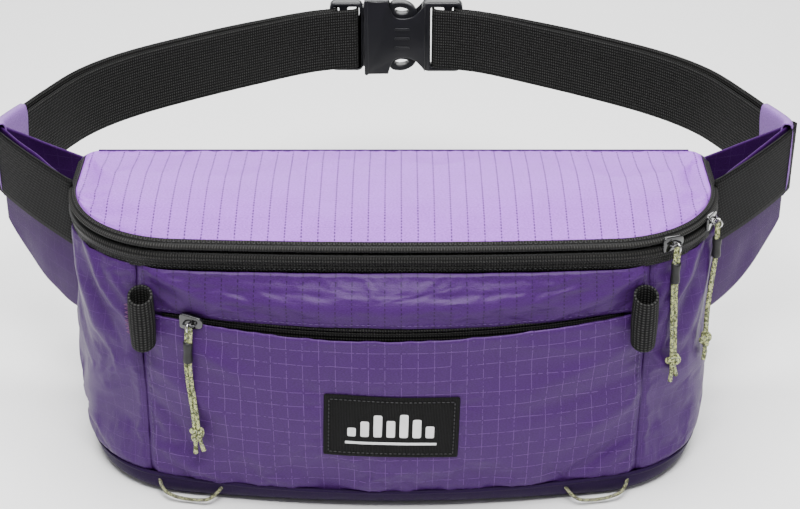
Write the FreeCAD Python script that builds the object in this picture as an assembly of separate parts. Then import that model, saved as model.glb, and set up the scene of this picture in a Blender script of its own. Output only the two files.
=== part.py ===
import FreeCAD, Part
import math
import os
from FreeCAD import Vector

# A waist pack standing on its base, its belt closed behind it. Millimetres, +Z up,
# the front faces -Y, and the origin is under the centre of the whole box.

# Body of the pack
FRONT = -136.85           # front centre of the rim
RIM_DEPTH = 104.0
HALF_WIDTH = 162.5
BACK = FRONT + RIM_DEPTH
CORNER = 60.0             # plan radius of the front corners
BACK_CORNER = 10.0
CLOTH = 1.6               # coated cloth with its seam backing
BASE_TOP = 12.0           # seam between the bottom panel and the walls
PANEL_TOP = 135.5         # top edge of the cloth, where the zip tape starts
RIM = 145.0               # closing line of the main zip
BACK_TOP = 147.5
BULGE = 16.0              # how far the full pocket stands in front of the rim
POCKET_RADIUS = 340.0     # plan radius of the bulging pocket
RIM_RADIUS = 1735.0
SEAM_X = 125.0            # front seams
BACK_SEAM_X = 150.0

# Zips
SLIT = 109.0              # height of the pocket zip
SLIT_GAP = 3.0
TAPE = 0.8
TAPE_INSET = 0.4
ZIP_GAP = 0.8
COIL = 1.6
POCKET_TAPE_INSET = 1.8
POCKET_TAPE_HEIGHT = 8.6
POCKET_ZIP_HALF = 114.0
ZIP_END = BACK - 12.0

# Lid
LID_EDGE = 149.3
LID_CLOTH = 1.4
LID_INSET = 3.0
HINGE_Z = 149.0

# Back padding
PAD = 6.0
MESH = 1.6
PAD_HALF = 147.0

# Belt and wings
WEBBING_WIDTH = 38.0
WEBBING = 1.6
BELT_Z = 116.0
WING_ROOT = (164.2, FRONT + 67.0)
WING_TIP = (210.0, FRONT + 122.0)
WING_BACK = (151.0, FRONT + 106.0)
BUCKLE_Y = FRONT + 285.0
BELT_ROUTE = [
    (210.5, FRONT + 124.5), (203.0, FRONT + 141.0), (193.0, FRONT + 163.0), (176.0, FRONT + 194.0),
    (150.0, FRONT + 220.0), (110.0, FRONT + 246.0), (72.0, FRONT + 267.0),
]

# Sliders and pulls
SLIDER_LENGTH = 12.0
SLIDER_HEIGHT = 9.0
SLIDER_PLATE = 1.6
SLIDER_CLEAR = 0.6
BAIL_RISE = 2.9
BAR_RADIUS = 0.5
RING_RADIUS = 2.2
RING_WIRE = 0.45
RING_DROP = 1.05
CORD = 3.6                # two strands side by side
FRONT_PULL_ANGLE = 32.0
SIDE_PULL_ANGLE = 62.0
POCKET_PULL_X = -97.0

# Each pull's route hangs from its slider's bar: along the zip, towards the pack, and up.
PULL_ROUTES = {
    "front": [(0, 0, -3), (-0.8, -0.6, -17), (0.9, 0.4, -33), (2.6, 0.9, -50), (3.2, 0.2, -64)],
    "side": [(0, 0, -3), (1.0, -0.6, -17), (0.6, 0.5, -33), (-1.6, 0.8, -50), (-2.6, 0.0, -64)],
    "pocket": [(0, 0, -3), (-1.2, -0.8, -17), (-1.6, 0.4, -32), (-0.2, 0.8, -47), (1.2, -0.8, -60)],
}

# Lash cords stand out of the front bottom seam, one each side.
LASH_CORD = 1.8
LASH_ROUTE = [
    (-120.5, FRONT + 5.6, 9.5), (-119.0, FRONT - 0.6, 6.0), (-111.5, FRONT - 3.4, 3.4),
    (-101.5, FRONT - 5.0, 2.6), (-92.0, FRONT - 6.8, 4.4), (-87.5, FRONT - 1.9, 9.5),
]

LEVELS = [
    # height, half width, front centre, front radius, corner radius
    (0.0, 153.0, FRONT - 1.5, 900.0, 55.0),
    (BASE_TOP, 161.0, FRONT - 11.0, 480.0, 59.0),
    (34.0, HALF_WIDTH, FRONT - BULGE, POCKET_RADIUS, CORNER),
    (118.0, HALF_WIDTH, FRONT - BULGE, POCKET_RADIUS, CORNER),
    (PANEL_TOP, HALF_WIDTH, FRONT, RIM_RADIUS, CORNER),
    (BACK_TOP, HALF_WIDTH, FRONT, RIM_RADIUS, CORNER),
]
RIM_LEVEL = LEVELS[-1]
POCKET_LEVEL = LEVELS[3]

nodes = {}


def box(x0, x1, y0, y1, z0, z1):
    return Part.makeBox(x1 - x0, y1 - y0, z1 - z0, Vector(x0, y0, z0))


def corner_centre(level):
    """Plan position of the right front corner's centre."""
    _, half, front, radius, corner = level
    reach = math.sqrt((radius - corner) ** 2 - (half - corner) ** 2)
    return half - corner, front + radius - reach


def arc(a, b, c):
    return Part.Arc(a, b, c).toShape()


def outline(level, inset, z):
    """Closed plan outline: a gently curved front, round front corners and a flat back."""
    _, half, front, radius, corner = level
    cx, cy = corner_centre(level)
    tangent = math.asin((half - corner) / (radius - corner))
    radius -= inset
    corner -= inset
    half -= inset
    back = BACK - inset
    small = max(BACK_CORNER - inset, 2.0)

    def on_corner(side, angle):
        return Vector(side * (cx + corner * math.sin(angle)), cy - corner * math.cos(angle), z)

    def on_back(side, angle):
        x = half - small + small * math.cos(angle)
        return Vector(side * x, back - small + small * math.sin(angle), z)

    middle = (tangent + math.pi / 2) / 2
    edges = [arc(on_corner(-1, tangent), Vector(0, front + inset, z), on_corner(1, tangent))]
    edges.append(arc(on_corner(1, tangent), on_corner(1, middle), Vector(half, cy, z)))
    edges.append(Part.makeLine(Vector(half, cy, z), on_back(1, 0)))
    edges.append(arc(on_back(1, 0), on_back(1, math.pi / 4), on_back(1, math.pi / 2)))
    edges.append(Part.makeLine(on_back(1, math.pi / 2), on_back(-1, math.pi / 2)))
    edges.append(arc(on_back(-1, math.pi / 2), on_back(-1, math.pi / 4), on_back(-1, 0)))
    edges.append(Part.makeLine(on_back(-1, 0), Vector(-half, cy, z)))
    edges.append(arc(Vector(-half, cy, z), on_corner(-1, middle), on_corner(-1, tangent)))
    return Part.Wire(edges)


def body_solid(inset, bottom, top):
    wires = [outline(LEVELS[0], inset, bottom)]
    wires += [outline(level, inset, level[0]) for level in LEVELS[1:-1]]
    wires.append(outline(LEVELS[-1], inset, top))
    return Part.makeLoft(wires, True, True)


def band(level, z0, z1, inset0, inset1, thick):
    """Wall that follows an outline between two heights, leaning in from inset0 to inset1."""
    outer = Part.makeLoft([outline(level, inset0, z0), outline(level, inset1, z1)], True, True)
    inner_wires = [outline(level, inset0 + thick, z0), outline(level, inset1 + thick, z1)]
    return outer.cut(Part.makeLoft(inner_wires, True, True))


def plate_solid(level, inset, z0, z1):
    return Part.makeLoft([outline(level, inset, z0), outline(level, inset, z1)], True, True)


def body_panels():
    shell = body_solid(0, 0, BACK_TOP).cut(body_solid(CLOTH, CLOTH, BACK_TOP + 1))
    far = HALF_WIDTH + 30
    front_y = FRONT - 40
    nodes["bottom_panel"] = shell.common(box(-far, far, front_y, BACK + 1, 0, BASE_TOP))
    walls = shell.common(box(-far, far, front_y, BACK + 1, BASE_TOP, BACK_TOP))
    back_wall = box(-BACK_SEAM_X, BACK_SEAM_X, BACK - CLOTH, BACK + 1, BASE_TOP, BACK_TOP)
    nodes["back_panel"] = walls.common(back_wall)
    walls = walls.cut(back_wall).cut(box(-far, far, front_y, ZIP_END, PANEL_TOP, BACK_TOP))
    nodes["side_gusset_left"] = walls.common(box(-far, -SEAM_X, front_y, BACK + 1, 0, BACK_TOP))
    nodes["side_gusset_right"] = walls.common(box(SEAM_X, far, front_y, BACK + 1, 0, BACK_TOP))
    front = walls.common(box(-SEAM_X, SEAM_X, front_y, FRONT + 30, 0, BACK_TOP))
    half_gap = SLIT_GAP / 2
    nodes["front_pocket_panel"] = front.common(
        box(-far, far, front_y, FRONT + 30, BASE_TOP, SLIT - half_gap))
    nodes["front_upper_panel"] = front.common(
        box(-far, far, front_y, FRONT + 30, SLIT + half_gap, PANEL_TOP))
    inside = body_solid(CLOTH, CLOTH, BACK_TOP + 1)
    divider = box(-SEAM_X + 1, SEAM_X - 1, FRONT + 9, FRONT + 10, BASE_TOP, PANEL_TOP)
    nodes["pocket_divider"] = divider.common(inside)


def back_padding():
    corner = 14.0
    pad = box(-PAD_HALF, PAD_HALF, BACK, BACK + PAD, 0, RIM - 3)
    mesh = box(-PAD_HALF, PAD_HALF, BACK + PAD, BACK + PAD + MESH, 0, RIM - 3)
    for name, shape in (("back_pad", pad), ("back_mesh", mesh)):
        upright = [e for e in shape.Edges if abs(e.Vertexes[0].Y - e.Vertexes[1].Y) > 0.5
                   and e.Vertexes[0].Z > 1]
        nodes[name] = shape.makeFillet(corner, upright)


def main_zip():
    front_part = box(-200, 200, FRONT - 40, ZIP_END, RIM - 20, RIM + 20)
    gap = ZIP_GAP / 2
    rim = band(RIM_LEVEL, PANEL_TOP, RIM - gap, TAPE_INSET, TAPE_INSET, TAPE)
    nodes["rim_zip_tape"] = rim.common(front_part)
    lid_part = box(-200, 200, FRONT - 40, ZIP_END - 0.5, RIM - 20, RIM + 20)
    lid = band(RIM_LEVEL, RIM + gap, LID_EDGE, TAPE_INSET, LID_INSET - 0.4, TAPE)
    nodes["lid_zip_tape"] = lid.common(lid_part)
    coil_inset = TAPE_INSET + TAPE
    coil = band(RIM_LEVEL, RIM - gap - COIL, RIM - gap, coil_inset, coil_inset, COIL)
    nodes["rim_zip_coil"] = coil.common(front_part)
    lean = (LID_INSET - 0.4 - TAPE_INSET) / (LID_EDGE - RIM - gap) * COIL
    coil = band(RIM_LEVEL, RIM + gap, RIM + gap + COIL, coil_inset, coil_inset + lean, COIL)
    nodes["lid_zip_coil"] = coil.common(lid_part)


def pocket_zip():
    across = box(-POCKET_ZIP_HALF, POCKET_ZIP_HALF, FRONT - 40, FRONT + 20, 0, 200)
    gap = ZIP_GAP / 2
    inset = POCKET_TAPE_INSET
    spans = {
        "pocket_zip_tape_upper": (SLIT + gap, SLIT + POCKET_TAPE_HEIGHT, inset, TAPE),
        "pocket_zip_tape_lower": (SLIT - POCKET_TAPE_HEIGHT, SLIT - gap, inset, TAPE),
        "pocket_zip_coil_upper": (SLIT + gap, SLIT + gap + COIL, inset + TAPE, COIL),
        "pocket_zip_coil_lower": (SLIT - gap - COIL, SLIT - gap, inset + TAPE, COIL),
    }
    for name, (z0, z1, start, thick) in spans.items():
        nodes[name] = band(POCKET_LEVEL, z0, z1, start, start, thick).common(across)


def lid():
    steps = [(LID_EDGE, LID_INSET), (LID_EDGE + 1.4, LID_INSET), (LID_EDGE + 3.9, 14.0)]
    steps.append((LID_EDGE + 5.5, 34.0))
    dome = Part.makeLoft([outline(RIM_LEVEL, inset, z) for z, inset in steps], True, True)
    under = dome.copy()
    under.translate(Vector(0, 0, -LID_CLOTH))
    nodes["lid_panel"] = dome.cut(under)
    nodes["lid_pad"] = plate_solid(RIM_LEVEL, 9.0, RIM + 2.2, RIM + 4.2)
    nodes["lid_lining"] = plate_solid(RIM_LEVEL, 8.0, RIM + 1.4, RIM + 2.2)


def slider(skin):
    """Zip slider facing -Y, its closing line at z 0 and the tape's outer face at y 0."""
    half = SLIDER_LENGTH / 2
    tall = SLIDER_HEIGHT / 2
    face = -skin - SLIDER_PLATE
    inner = TAPE + COIL + 3 * SLIDER_CLEAR
    outer_plate = box(-half, half, face, -skin, -tall, tall)
    corners = [e for e in outer_plate.Edges if abs(e.Vertexes[0].Y - e.Vertexes[1].Y) > 0.5]
    outer_plate = outer_plate.makeFillet(2.5, corners)
    parts = [box(-half, half, inner, inner + 1.4, -tall + 0.5, tall - 0.5)]
    parts.append(box(-2.5, 2.5, -skin, inner, -0.2, 0.2))
    bar_y = face - BAIL_RISE
    parts.append(Part.makeCylinder(BAR_RADIUS, 7, Vector(-3.5, bar_y, 0), Vector(1, 0, 0)))
    for side in (-1, 1):
        x = side * 3.0
        parts.append(box(x - 0.5, x + 0.5, bar_y, face, -0.9, 0.9))
    return outer_plate.multiFuse(parts), bar_y


def arc_path(points):
    """Straight runs joined by tangent arcs, each as large as its two runs allow."""
    edges = []
    radii = []
    start = points[0]
    for before, corner, after in zip(points, points[1:], points[2:]):
        into = (corner - before).normalize()
        out = (after - corner).normalize()
        run = min((corner - before).Length, (after - corner).Length)
        half_turn = into.getAngle(out) / 2
        cut = 0.45 * run
        radii.append(cut / math.tan(half_turn))
        first = corner - into * cut
        last = corner + out * cut
        inward = (out - into).normalize()
        middle = corner + inward * (radii[-1] / math.cos(half_turn) - radii[-1])
        edges.append(Part.makeLine(start, first))
        edges.append(arc(first, middle, last))
        start = last
    edges.append(Part.makeLine(start, points[-1]))
    return Part.Wire(edges), radii


def tube(name, points, diameter):
    path, radii = arc_path(points)
    heading = points[1] - points[0]
    ring = Part.Wire([Part.makeCircle(diameter / 2, points[0], heading)])
    solid = path.makePipeShell([ring], True, False)
    expected = math.pi * diameter ** 2 / 4 * path.Length
    shown = ", ".join("%.1f" % radius for radius in radii)
    print("%s length %.1f radii %s volume ratio %.3f"
          % (name, path.Length, shown, solid.Volume / expected))
    return solid


def pull(name, place, bar_y):
    """Ring, doubled cord, sleeve and knot that hang from one slider's bar."""
    route = [Vector(x, bar_y + y, z) for x, y, z in PULL_ROUTES[name]]
    centre = Vector(0, bar_y, -RING_DROP)
    ring = Part.makeTorus(RING_RADIUS, RING_WIRE, centre, Vector(1, 0, 0))
    cord = tube("pull_cord_" + name, route, CORD)
    heading = (route[1] - route[0]).normalize()
    top = route[0] + heading * 6
    sleeve = Part.makeCylinder(CORD / 2 + 0.7, 11, top, heading)
    sleeve = sleeve.cut(Part.makeCylinder(CORD / 2 + 0.02, 11, top, heading))
    end = route[-1]
    knot = Part.makeSphere(3.7, end - Vector(0, 0, 2.4))
    for side in (-1, 1):
        lean = Vector(side * 0.22, 0.03 * side, -1)
        knot = knot.fuse(Part.makeCylinder(0.95, 14, end + Vector(side * 1.1, 0, -3), lean))
    knot = closed_solid(knot)
    for part, shape in (("ring", ring), ("cord", cord), ("sleeve", sleeve), ("knot", knot)):
        nodes["pull_%s_%s" % (part, name)] = place(shape)


def closed_solid(shape):
    """Largest solid of a shape, with its faces turned outwards."""
    solid = max(shape.Solids, key=lambda each: abs(each.Volume)).copy()
    if solid.Volume < 0:
        solid.reverse()
    return solid


def placer(x, y, z, angle):
    def place(shape):
        moved = shape.copy()
        moved.rotate(Vector(0, 0, 0), Vector(0, 0, 1), angle)
        moved.translate(Vector(x, y, z))
        return moved
    return place


def sliders():
    cx, cy = corner_centre(RIM_LEVEL)
    radius = CORNER - TAPE_INSET
    for name, degrees in (("front", FRONT_PULL_ANGLE), ("side", SIDE_PULL_ANGLE)):
        angle = math.radians(degrees)
        place = placer(cx + radius * math.sin(angle), cy - radius * math.cos(angle), RIM, degrees)
        shape, bar_y = slider(SLIDER_CLEAR)
        nodes["lid_slider_" + name] = place(shape)
        pull(name, place, bar_y)
    radius = POCKET_RADIUS - POCKET_TAPE_INSET
    angle = math.asin(POCKET_PULL_X / radius)
    centre_y = FRONT - BULGE + POCKET_RADIUS
    place = placer(POCKET_PULL_X, centre_y - radius * math.cos(angle), SLIT, math.degrees(angle))
    shape, bar_y = slider(POCKET_TAPE_INSET + SLIDER_CLEAR)
    nodes["pocket_slider"] = place(shape)
    pull("pocket", place, bar_y)


def front_surface_y(x):
    """Front face of the full pocket beside a point across the pack."""
    return FRONT - BULGE + POCKET_RADIUS - math.sqrt(POCKET_RADIUS ** 2 - x ** 2)


def label():
    width, height, thick = 66.0, 36.0, 0.8
    centre_y = FRONT - BULGE + POCKET_RADIUS
    outer = Part.makeCylinder(POCKET_RADIUS + thick, 200, Vector(0, centre_y, 0))
    skin = outer.cut(Part.makeCylinder(POCKET_RADIUS, 200, Vector(0, centre_y, 0)))
    patch = box(-width / 2, width / 2, FRONT - 60, FRONT, -height / 2, height / 2)
    patch.rotate(Vector(0, 0, 0), Vector(0, 1, 0), 1.6)
    patch.translate(Vector(-1.0, 0, 57.0))
    nodes["label"] = skin.common(patch)


def side_tabs():
    """Webbing loops sewn into the front seams, open at the top and the bottom."""
    length, depth, thick = 12.0, 7.6, 1.1
    z0, height = 96.0, 27.0
    for name, side in (("left", -1), ("right", 1)):
        x = SEAM_X - 0.5
        y = FRONT + 7.0
        outer = box(x - length, x, y - depth, y, z0, z0 + height)
        inner = box(x - length + thick, x, y - depth + thick, y - thick, z0, z0 + height)
        tab = outer.cut(inner)
        nose = [e for e in tab.Edges if abs(e.Vertexes[0].Z - e.Vertexes[-1].Z) > 20
                and abs(e.Vertexes[0].X - (x - length)) < 0.01]
        tab = tab.makeFillet(2.4, nose)
        clear = body_solid(0, 0, BACK_TOP)
        tab.rotate(Vector(x, y, 0), Vector(0, 0, 1), 13)
        tab = closed_solid(tab.cut(clear))
        if side < 0:
            tab = tab.mirror(Vector(0, 0, 0), Vector(1, 0, 0))
        nodes["tab_" + name] = tab


def lash_cords():
    for name, side in (("left", 1), ("right", -1)):
        points = [Vector(side * x, y, z) for x, y, z in LASH_ROUTE]
        nodes["lash_cord_" + name] = tube("lash_cord_" + name, points, LASH_CORD)


def upright_plate(start, end, profile, thick):
    """Flat plate between two plan points; profile lists fraction along and height."""
    a = Vector(start[0], start[1], 0)
    run = Vector(end[0], end[1], 0) - a
    points = [a + run * along + Vector(0, 0, z) for along, z in profile]
    face = Part.Face(Part.makePolygon(points + points[:1]))
    across = Vector(run.y, -run.x, 0).normalize() * thick
    return face.extrude(across)


def smooth_strip(route, thick, z0, height):
    """Upright webbing along a smooth plan line."""
    curve = Part.BSplineCurve()
    curve.interpolate([Vector(x, y, z0) for x, y in route])
    first, last = curve.FirstParameter, curve.LastParameter
    sides = ([], [])
    steps = 16
    for step in range(steps + 1):
        at = first + (last - first) * step / steps
        point = curve.value(at)
        heading = curve.tangent(at)[0]
        across = Vector(heading.y, -heading.x, 0).normalize() * (thick / 2)
        sides[0].append(point + across)
        sides[1].append(point - across)
    edges = []
    for side in sides:
        line = Part.BSplineCurve()
        line.interpolate(side)
        edges.append(line.toShape())
    edges.append(Part.makeLine(sides[0][0], sides[1][0]))
    edges.append(Part.makeLine(sides[0][-1], sides[1][-1]))
    face = Part.Face(Part.Wire(Part.__sortEdges__(edges)))
    return face.extrude(Vector(0, 0, height))


def mirror_if(shape, side):
    if side > 0:
        return shape
    return shape.mirror(Vector(0, 0, 0), Vector(1, 0, 0))


def belt_and_wings():
    top = BELT_Z + WEBBING_WIDTH
    outer_profile = [(0, 74), (0, 143), (1, top), (1, 98)]
    inner_profile = [(0, 72), (0, 141), (0.97, top), (0.97, 98)]
    webbing_profile = [(0, 107), (0, 107 + WEBBING_WIDTH - 1), (1, top), (1, BELT_Z)]
    shift = (WEBBING + 0.02) * 0.77, -(WEBBING + 0.02) * 0.64
    web_root = (WING_ROOT[0] + shift[0], WING_ROOT[1] + shift[1])
    web_tip = (WING_TIP[0] + shift[0], WING_TIP[1] + shift[1])
    for name, side in (("left", -1), ("right", 1)):
        outer = upright_plate(WING_ROOT, WING_TIP, outer_profile, CLOTH)
        inner = upright_plate(WING_BACK, WING_TIP, inner_profile, -CLOTH)
        inner = inner.cut(outer)
        webbing = upright_plate(web_root, web_tip, webbing_profile, WEBBING).cut(outer)
        strap = smooth_strip(BELT_ROUTE, WEBBING, BELT_Z, WEBBING_WIDTH)
        for blocker in (outer, inner, webbing):
            strap = strap.cut(blocker)
        tail_route = [(x * 0.985, y - 2.6) for x, y in BELT_ROUTE[3:]]
        tail = smooth_strip(tail_route, WEBBING, BELT_Z + 1.5, WEBBING_WIDTH)
        nodes["wing_outer_" + name] = mirror_if(outer, side)
        nodes["wing_inner_" + name] = mirror_if(inner, side)
        nodes["wing_webbing_" + name] = mirror_if(webbing, side)
        nodes["strap_" + name] = mirror_if(strap, side)
        nodes["strap_tail_" + name] = mirror_if(tail, side)
        nodes["wing_cuff_" + name] = mirror_if(wing_cuff(strap, tail), side)


def wing_cuff(strap, tail):
    """Folded sleeve of lining cloth around the webbing just past the wing's tip."""
    length = 13.0
    x, y = BELT_ROUTE[0]
    end_x, end_y = BELT_ROUTE[1]
    angle = math.degrees(math.atan2(end_y - y, end_x - x))
    cuff = box(3.0, 3.0 + length, -2.6, 2.6, BELT_Z - 2, BELT_Z + WEBBING_WIDTH)
    cuff = cuff.cut(box(2.0, 4.0 + length, -1.6, 1.6, BELT_Z - 1, BELT_Z + WEBBING_WIDTH - 1))
    cuff.rotate(Vector(0, 0, 0), Vector(0, 0, 1), angle)
    cuff.translate(Vector(x, y, 0))
    return cuff.cut(strap).cut(tail)


def buckle_box(x0, x1, thick, z0, z1):
    middle = BELT_Z + WEBBING_WIDTH / 2
    return box(x0, x1, BUCKLE_Y - thick / 2, BUCKLE_Y + thick / 2, middle + z0, middle + z1)


def buckle():
    """Side-release buckle: the plug is on the left strap and the socket on the right."""
    ring = buckle_box(-18, -3.5, 11, -24, 24).cut(buckle_box(-19, -3, 8, -20.5, 20.5))
    bridge = buckle_box(-3.5, 18, 11, -13, 13).cut(buckle_box(-4, 15, 8, -14, 14))
    end = buckle_box(18, 41, 8, -22.5, 22.5)
    end = end.cut(buckle_box(26, 31, 20, -19.5, 19.5)).cut(buckle_box(35, 37.5, 20, -19.5, 19.5))
    nodes["buckle_socket"] = ring.multiFuse([bridge, end])
    base = buckle_box(-39, -19.5, 7, -22, 22)
    base = base.cut(buckle_box(-36.5, -33.5, 20, -19.5, 19.5))
    base = base.cut(buckle_box(-29, -24.5, 20, -19.5, 19.5))
    tongue = buckle_box(-19.5, 8, 5, -3, 3)
    nodes["buckle_plug"] = base.fuse(tongue)
    stem = buckle_box(-19.2, 2, 6, 9, 15)
    hook = buckle_box(-2.6, 13, 6, 13, 22)
    hook = hook.makeFillet(2.6, [e for e in hook.Edges if abs(e.Vertexes[0].Y - e.Vertexes[1].Y) > 1])
    arm = stem.fuse(hook)
    nodes["buckle_arm_upper"] = arm
    middle = BELT_Z + WEBBING_WIDTH / 2
    nodes["buckle_arm_lower"] = arm.mirror(Vector(0, 0, middle), Vector(0, 0, 1))


def strap_ends():
    """Loops of webbing through the buckle's slots, joined to the straps."""
    x, y = BELT_ROUTE[-1]
    for name, side, reach in (("left", -1, 35.0), ("right", 1, 28.5)):
        route = [(x - 0.3, y + 0.2), (52.0, BUCKLE_Y - 9.0), (reach + 6.0, BUCKLE_Y - 5.2),
                 (reach, BUCKLE_Y - 4.9)]
        end = smooth_strip(route, WEBBING, BELT_Z, WEBBING_WIDTH)
        nodes["strap_end_" + name] = mirror_if(end, side)


def main():
    os.makedirs("parts", exist_ok=True)
    body_panels()
    back_padding()
    main_zip()
    pocket_zip()
    lid()
    sliders()
    label()
    side_tabs()
    lash_cords()
    belt_and_wings()
    buckle()
    strap_ends()
    whole = Part.makeCompound(list(nodes.values()))
    limits = whole.BoundBox
    print("box X %.2f %.2f Y %.2f %.2f Z %.2f %.2f"
          % (limits.XMin, limits.XMax, limits.YMin, limits.YMax, limits.ZMin, limits.ZMax))
    for name, shape in nodes.items():
        if not shape.isValid() or not shape.Solids:
            print("check", name, shape.isValid(), len(shape.Solids))
        shape.exportStep("parts/%s.step" % name)
    print(len(nodes), "nodes")


main()
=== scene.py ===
import math

import bmesh
import bpy
from mathutils import Matrix, Vector, noise


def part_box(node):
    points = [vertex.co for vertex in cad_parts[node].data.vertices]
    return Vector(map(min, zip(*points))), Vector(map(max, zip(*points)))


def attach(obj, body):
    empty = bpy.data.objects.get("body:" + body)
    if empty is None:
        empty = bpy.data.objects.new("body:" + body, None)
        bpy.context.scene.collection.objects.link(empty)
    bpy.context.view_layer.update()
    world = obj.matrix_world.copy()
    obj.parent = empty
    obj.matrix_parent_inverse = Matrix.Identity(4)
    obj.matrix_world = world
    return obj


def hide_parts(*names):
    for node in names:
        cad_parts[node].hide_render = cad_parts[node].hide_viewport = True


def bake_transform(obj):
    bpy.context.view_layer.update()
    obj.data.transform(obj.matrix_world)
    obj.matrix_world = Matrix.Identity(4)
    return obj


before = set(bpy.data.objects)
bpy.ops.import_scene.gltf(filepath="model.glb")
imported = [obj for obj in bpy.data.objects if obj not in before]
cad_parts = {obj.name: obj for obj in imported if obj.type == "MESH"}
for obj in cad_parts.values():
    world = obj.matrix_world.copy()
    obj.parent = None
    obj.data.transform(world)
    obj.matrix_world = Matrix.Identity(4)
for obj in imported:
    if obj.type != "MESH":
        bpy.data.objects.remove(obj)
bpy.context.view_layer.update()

# The pack's driving sizes, in metres, the same as the frame's own.
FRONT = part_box("rim_zip_tape")[0][1] - 0.0004
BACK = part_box("back_panel")[1][1]
RIM = 0.145
CORNER = 0.060
BACK_CORNER = 0.010
BASE_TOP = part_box("bottom_panel")[1][2]
PANEL_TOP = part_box("front_upper_panel")[1][2]
BACK_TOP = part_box("back_panel")[1][2]
SEAM_X = 0.125
BACK_SEAM_X = 0.150
SLIT = 0.109
LID_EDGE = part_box("lid_panel")[0][2]
ZIP_END = BACK - 0.012
BELT_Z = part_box("strap_left")[0][2]
WEBBING_WIDTH = 0.038
WEBBING = 0.0016
BUCKLE_Y = FRONT + 0.285
BUCKLE_Z = BELT_Z + WEBBING_WIDTH / 2
CLOTH = 0.0011            # thickness of the pack's cloth
CLOTH_STEPS = 16          # steps of each cloth's settling
STITCH = 0.0028           # from one seam stitch to the next
ZIP_STITCH = 0.0024
THREAD = 0.00022          # half the thickness of the seam thread
LABEL_HEM = 0.0026        # the label's stitch line, in from its edge
SLOT_HALF = 0.0195        # half the length of the buckle's webbing slots
SLOT_CORNER = 0.0012
SIDES = {"left": -1, "right": 1}

LABEL_CENTRE = (-0.0010, 0.057)
LABEL_HALF = (0.0333, 0.0183)
LABEL_TURN = math.radians(-1.6)

# Shape of the filled body by height: half width, front centre from the rim, front curve, corner.
BODY_LEVELS = [
    (0.0000, 0.1535, -0.0015, 0.900, 0.055),
    (0.0045, 0.1585, -0.0080, 0.620, 0.057),
    (0.0120, 0.1615, -0.0115, 0.480, 0.059),
    (0.0340, 0.1632, -0.0162, 0.345, 0.060),
    (0.0700, 0.1638, -0.0178, 0.330, 0.060),
    (0.1000, 0.1632, -0.0166, 0.335, 0.060),
    (0.1180, 0.1628, -0.0142, 0.380, 0.060),
    (0.1290, 0.1626, -0.0072, 0.640, 0.060),
    (0.1355, 0.1625, -0.0004, 1.700, 0.060),
    (0.1480, 0.1625, 0.0000, 1.735, 0.060),
]
RIM_SHAPE_Z = 0.1480

# Belt line on the right, from the wing's tip to the buckle, seen from above.
BELT_ROUTE = [
    (0.2105, 0.1245), (0.2030, 0.1410), (0.1930, 0.1630), (0.1760, 0.1940),
    (0.1500, 0.2200), (0.1100, 0.2460), (0.0720, 0.2670),
]
WING_ROOT = (0.1642, 0.067)
WING_TIP = (0.2100, 0.122)
WING_BACK = (0.1510, 0.106)

# Pull cords: routes from each slider's bar, along the zip, towards the pack and up.
PULL_ROUTES = {
    "front": [(0, 0, -.003), (-.0008, -.0006, -.017), (.0009, .0004, -.033), (.0026, .0009, -.050),
              (.0032, .0002, -.064)],
    "side": [(0, 0, -.003), (.0010, -.0006, -.017), (.0006, .0005, -.033), (-.0016, .0008, -.050),
             (-.0026, 0, -.064)],
    "pocket": [(0, 0, -.003), (-.0012, -.0008, -.017), (-.0016, .0004, -.032),
               (-.0002, .0008, -.047), (.0012, -.0008, -.060)],
}
PULL_ANGLES = {"front": 32.0, "side": 62.0}
PULL_BAR = 0.0051         # how far a lid slider's bar stands off the tape
POCKET_BAR = 0.0069
POCKET_RADIUS = 0.340
POCKET_PULL_X = -0.097
STRAND = 0.00100
LASH_CORD = 0.0018
LASH_ROUTE = [
    (-.1205, .0056, .0095), (-.1190, -.0006, .0060), (-.1115, -.0034, .0034),
    (-.1015, -.0050, .0026), (-.0920, -.0068, .0044), (-.0875, -.0019, .0095),
]


# ---- camera, floor and light ----

def lay_camera():
    camera = bpy.data.cameras.new("camera")
    camera.lens = 85
    camera.sensor_width = 36
    holder = bpy.data.objects.new("camera", camera)
    bpy.context.collection.objects.link(holder)
    tilt = math.radians(30)
    distance = 0.9
    holder.location = (0.0033, FRONT - distance * math.cos(tilt), RIM + distance * math.sin(tilt))
    holder.rotation_euler = (math.pi / 2 - tilt, 0, 0)
    bpy.context.scene.camera = holder


def lay_floor():
    bm = bmesh.new()
    bmesh.ops.create_grid(bm, x_segments=1, y_segments=1, size=6)
    floor = link_mesh("floor", bm, plain_material("floor_paint", (0.93, 0.93, 0.93), 0.9))


def area_light(name, place, aim, size, power):
    light = bpy.data.lights.new(name, "AREA")
    light.shape = "RECTANGLE"
    light.size, light.size_y = size
    light.energy = power
    holder = bpy.data.objects.new(name, light)
    bpy.context.collection.objects.link(holder)
    holder.location = place
    holder.rotation_euler = (Vector(aim) - Vector(place)).to_track_quat("-Z", "Y").to_euler()


def lay_lights():
    world = bpy.data.worlds.new("studio")
    world.use_nodes = True
    world.node_tree.nodes["Background"].inputs[0].default_value = (1, 1, 1, 1)
    world.node_tree.nodes["Background"].inputs[1].default_value = 0.26
    bpy.context.scene.world = world
    area_light("top_box", (0, -0.10, 1.25), (0, -0.10, 0.12), (1.3, 0.7), 34)
    area_light("sheen_box", (0.02, -0.66, 1.15), (0, -0.14, 0.12), (0.55, 0.22), 16)
    area_light("back_box", (0, 1.6, 0.95), (0, -0.08, 0.15), (1.8, 0.8), 26)
    area_light("left_box", (-1.4, -0.5, 0.8), (0, -0.1, 0.08), (0.5, 0.8), 2)
    area_light("right_box", (1.3, -0.7, 0.9), (0, -0.1, 0.08), (0.5, 0.8), 2)


# ---- materials ----

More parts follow.
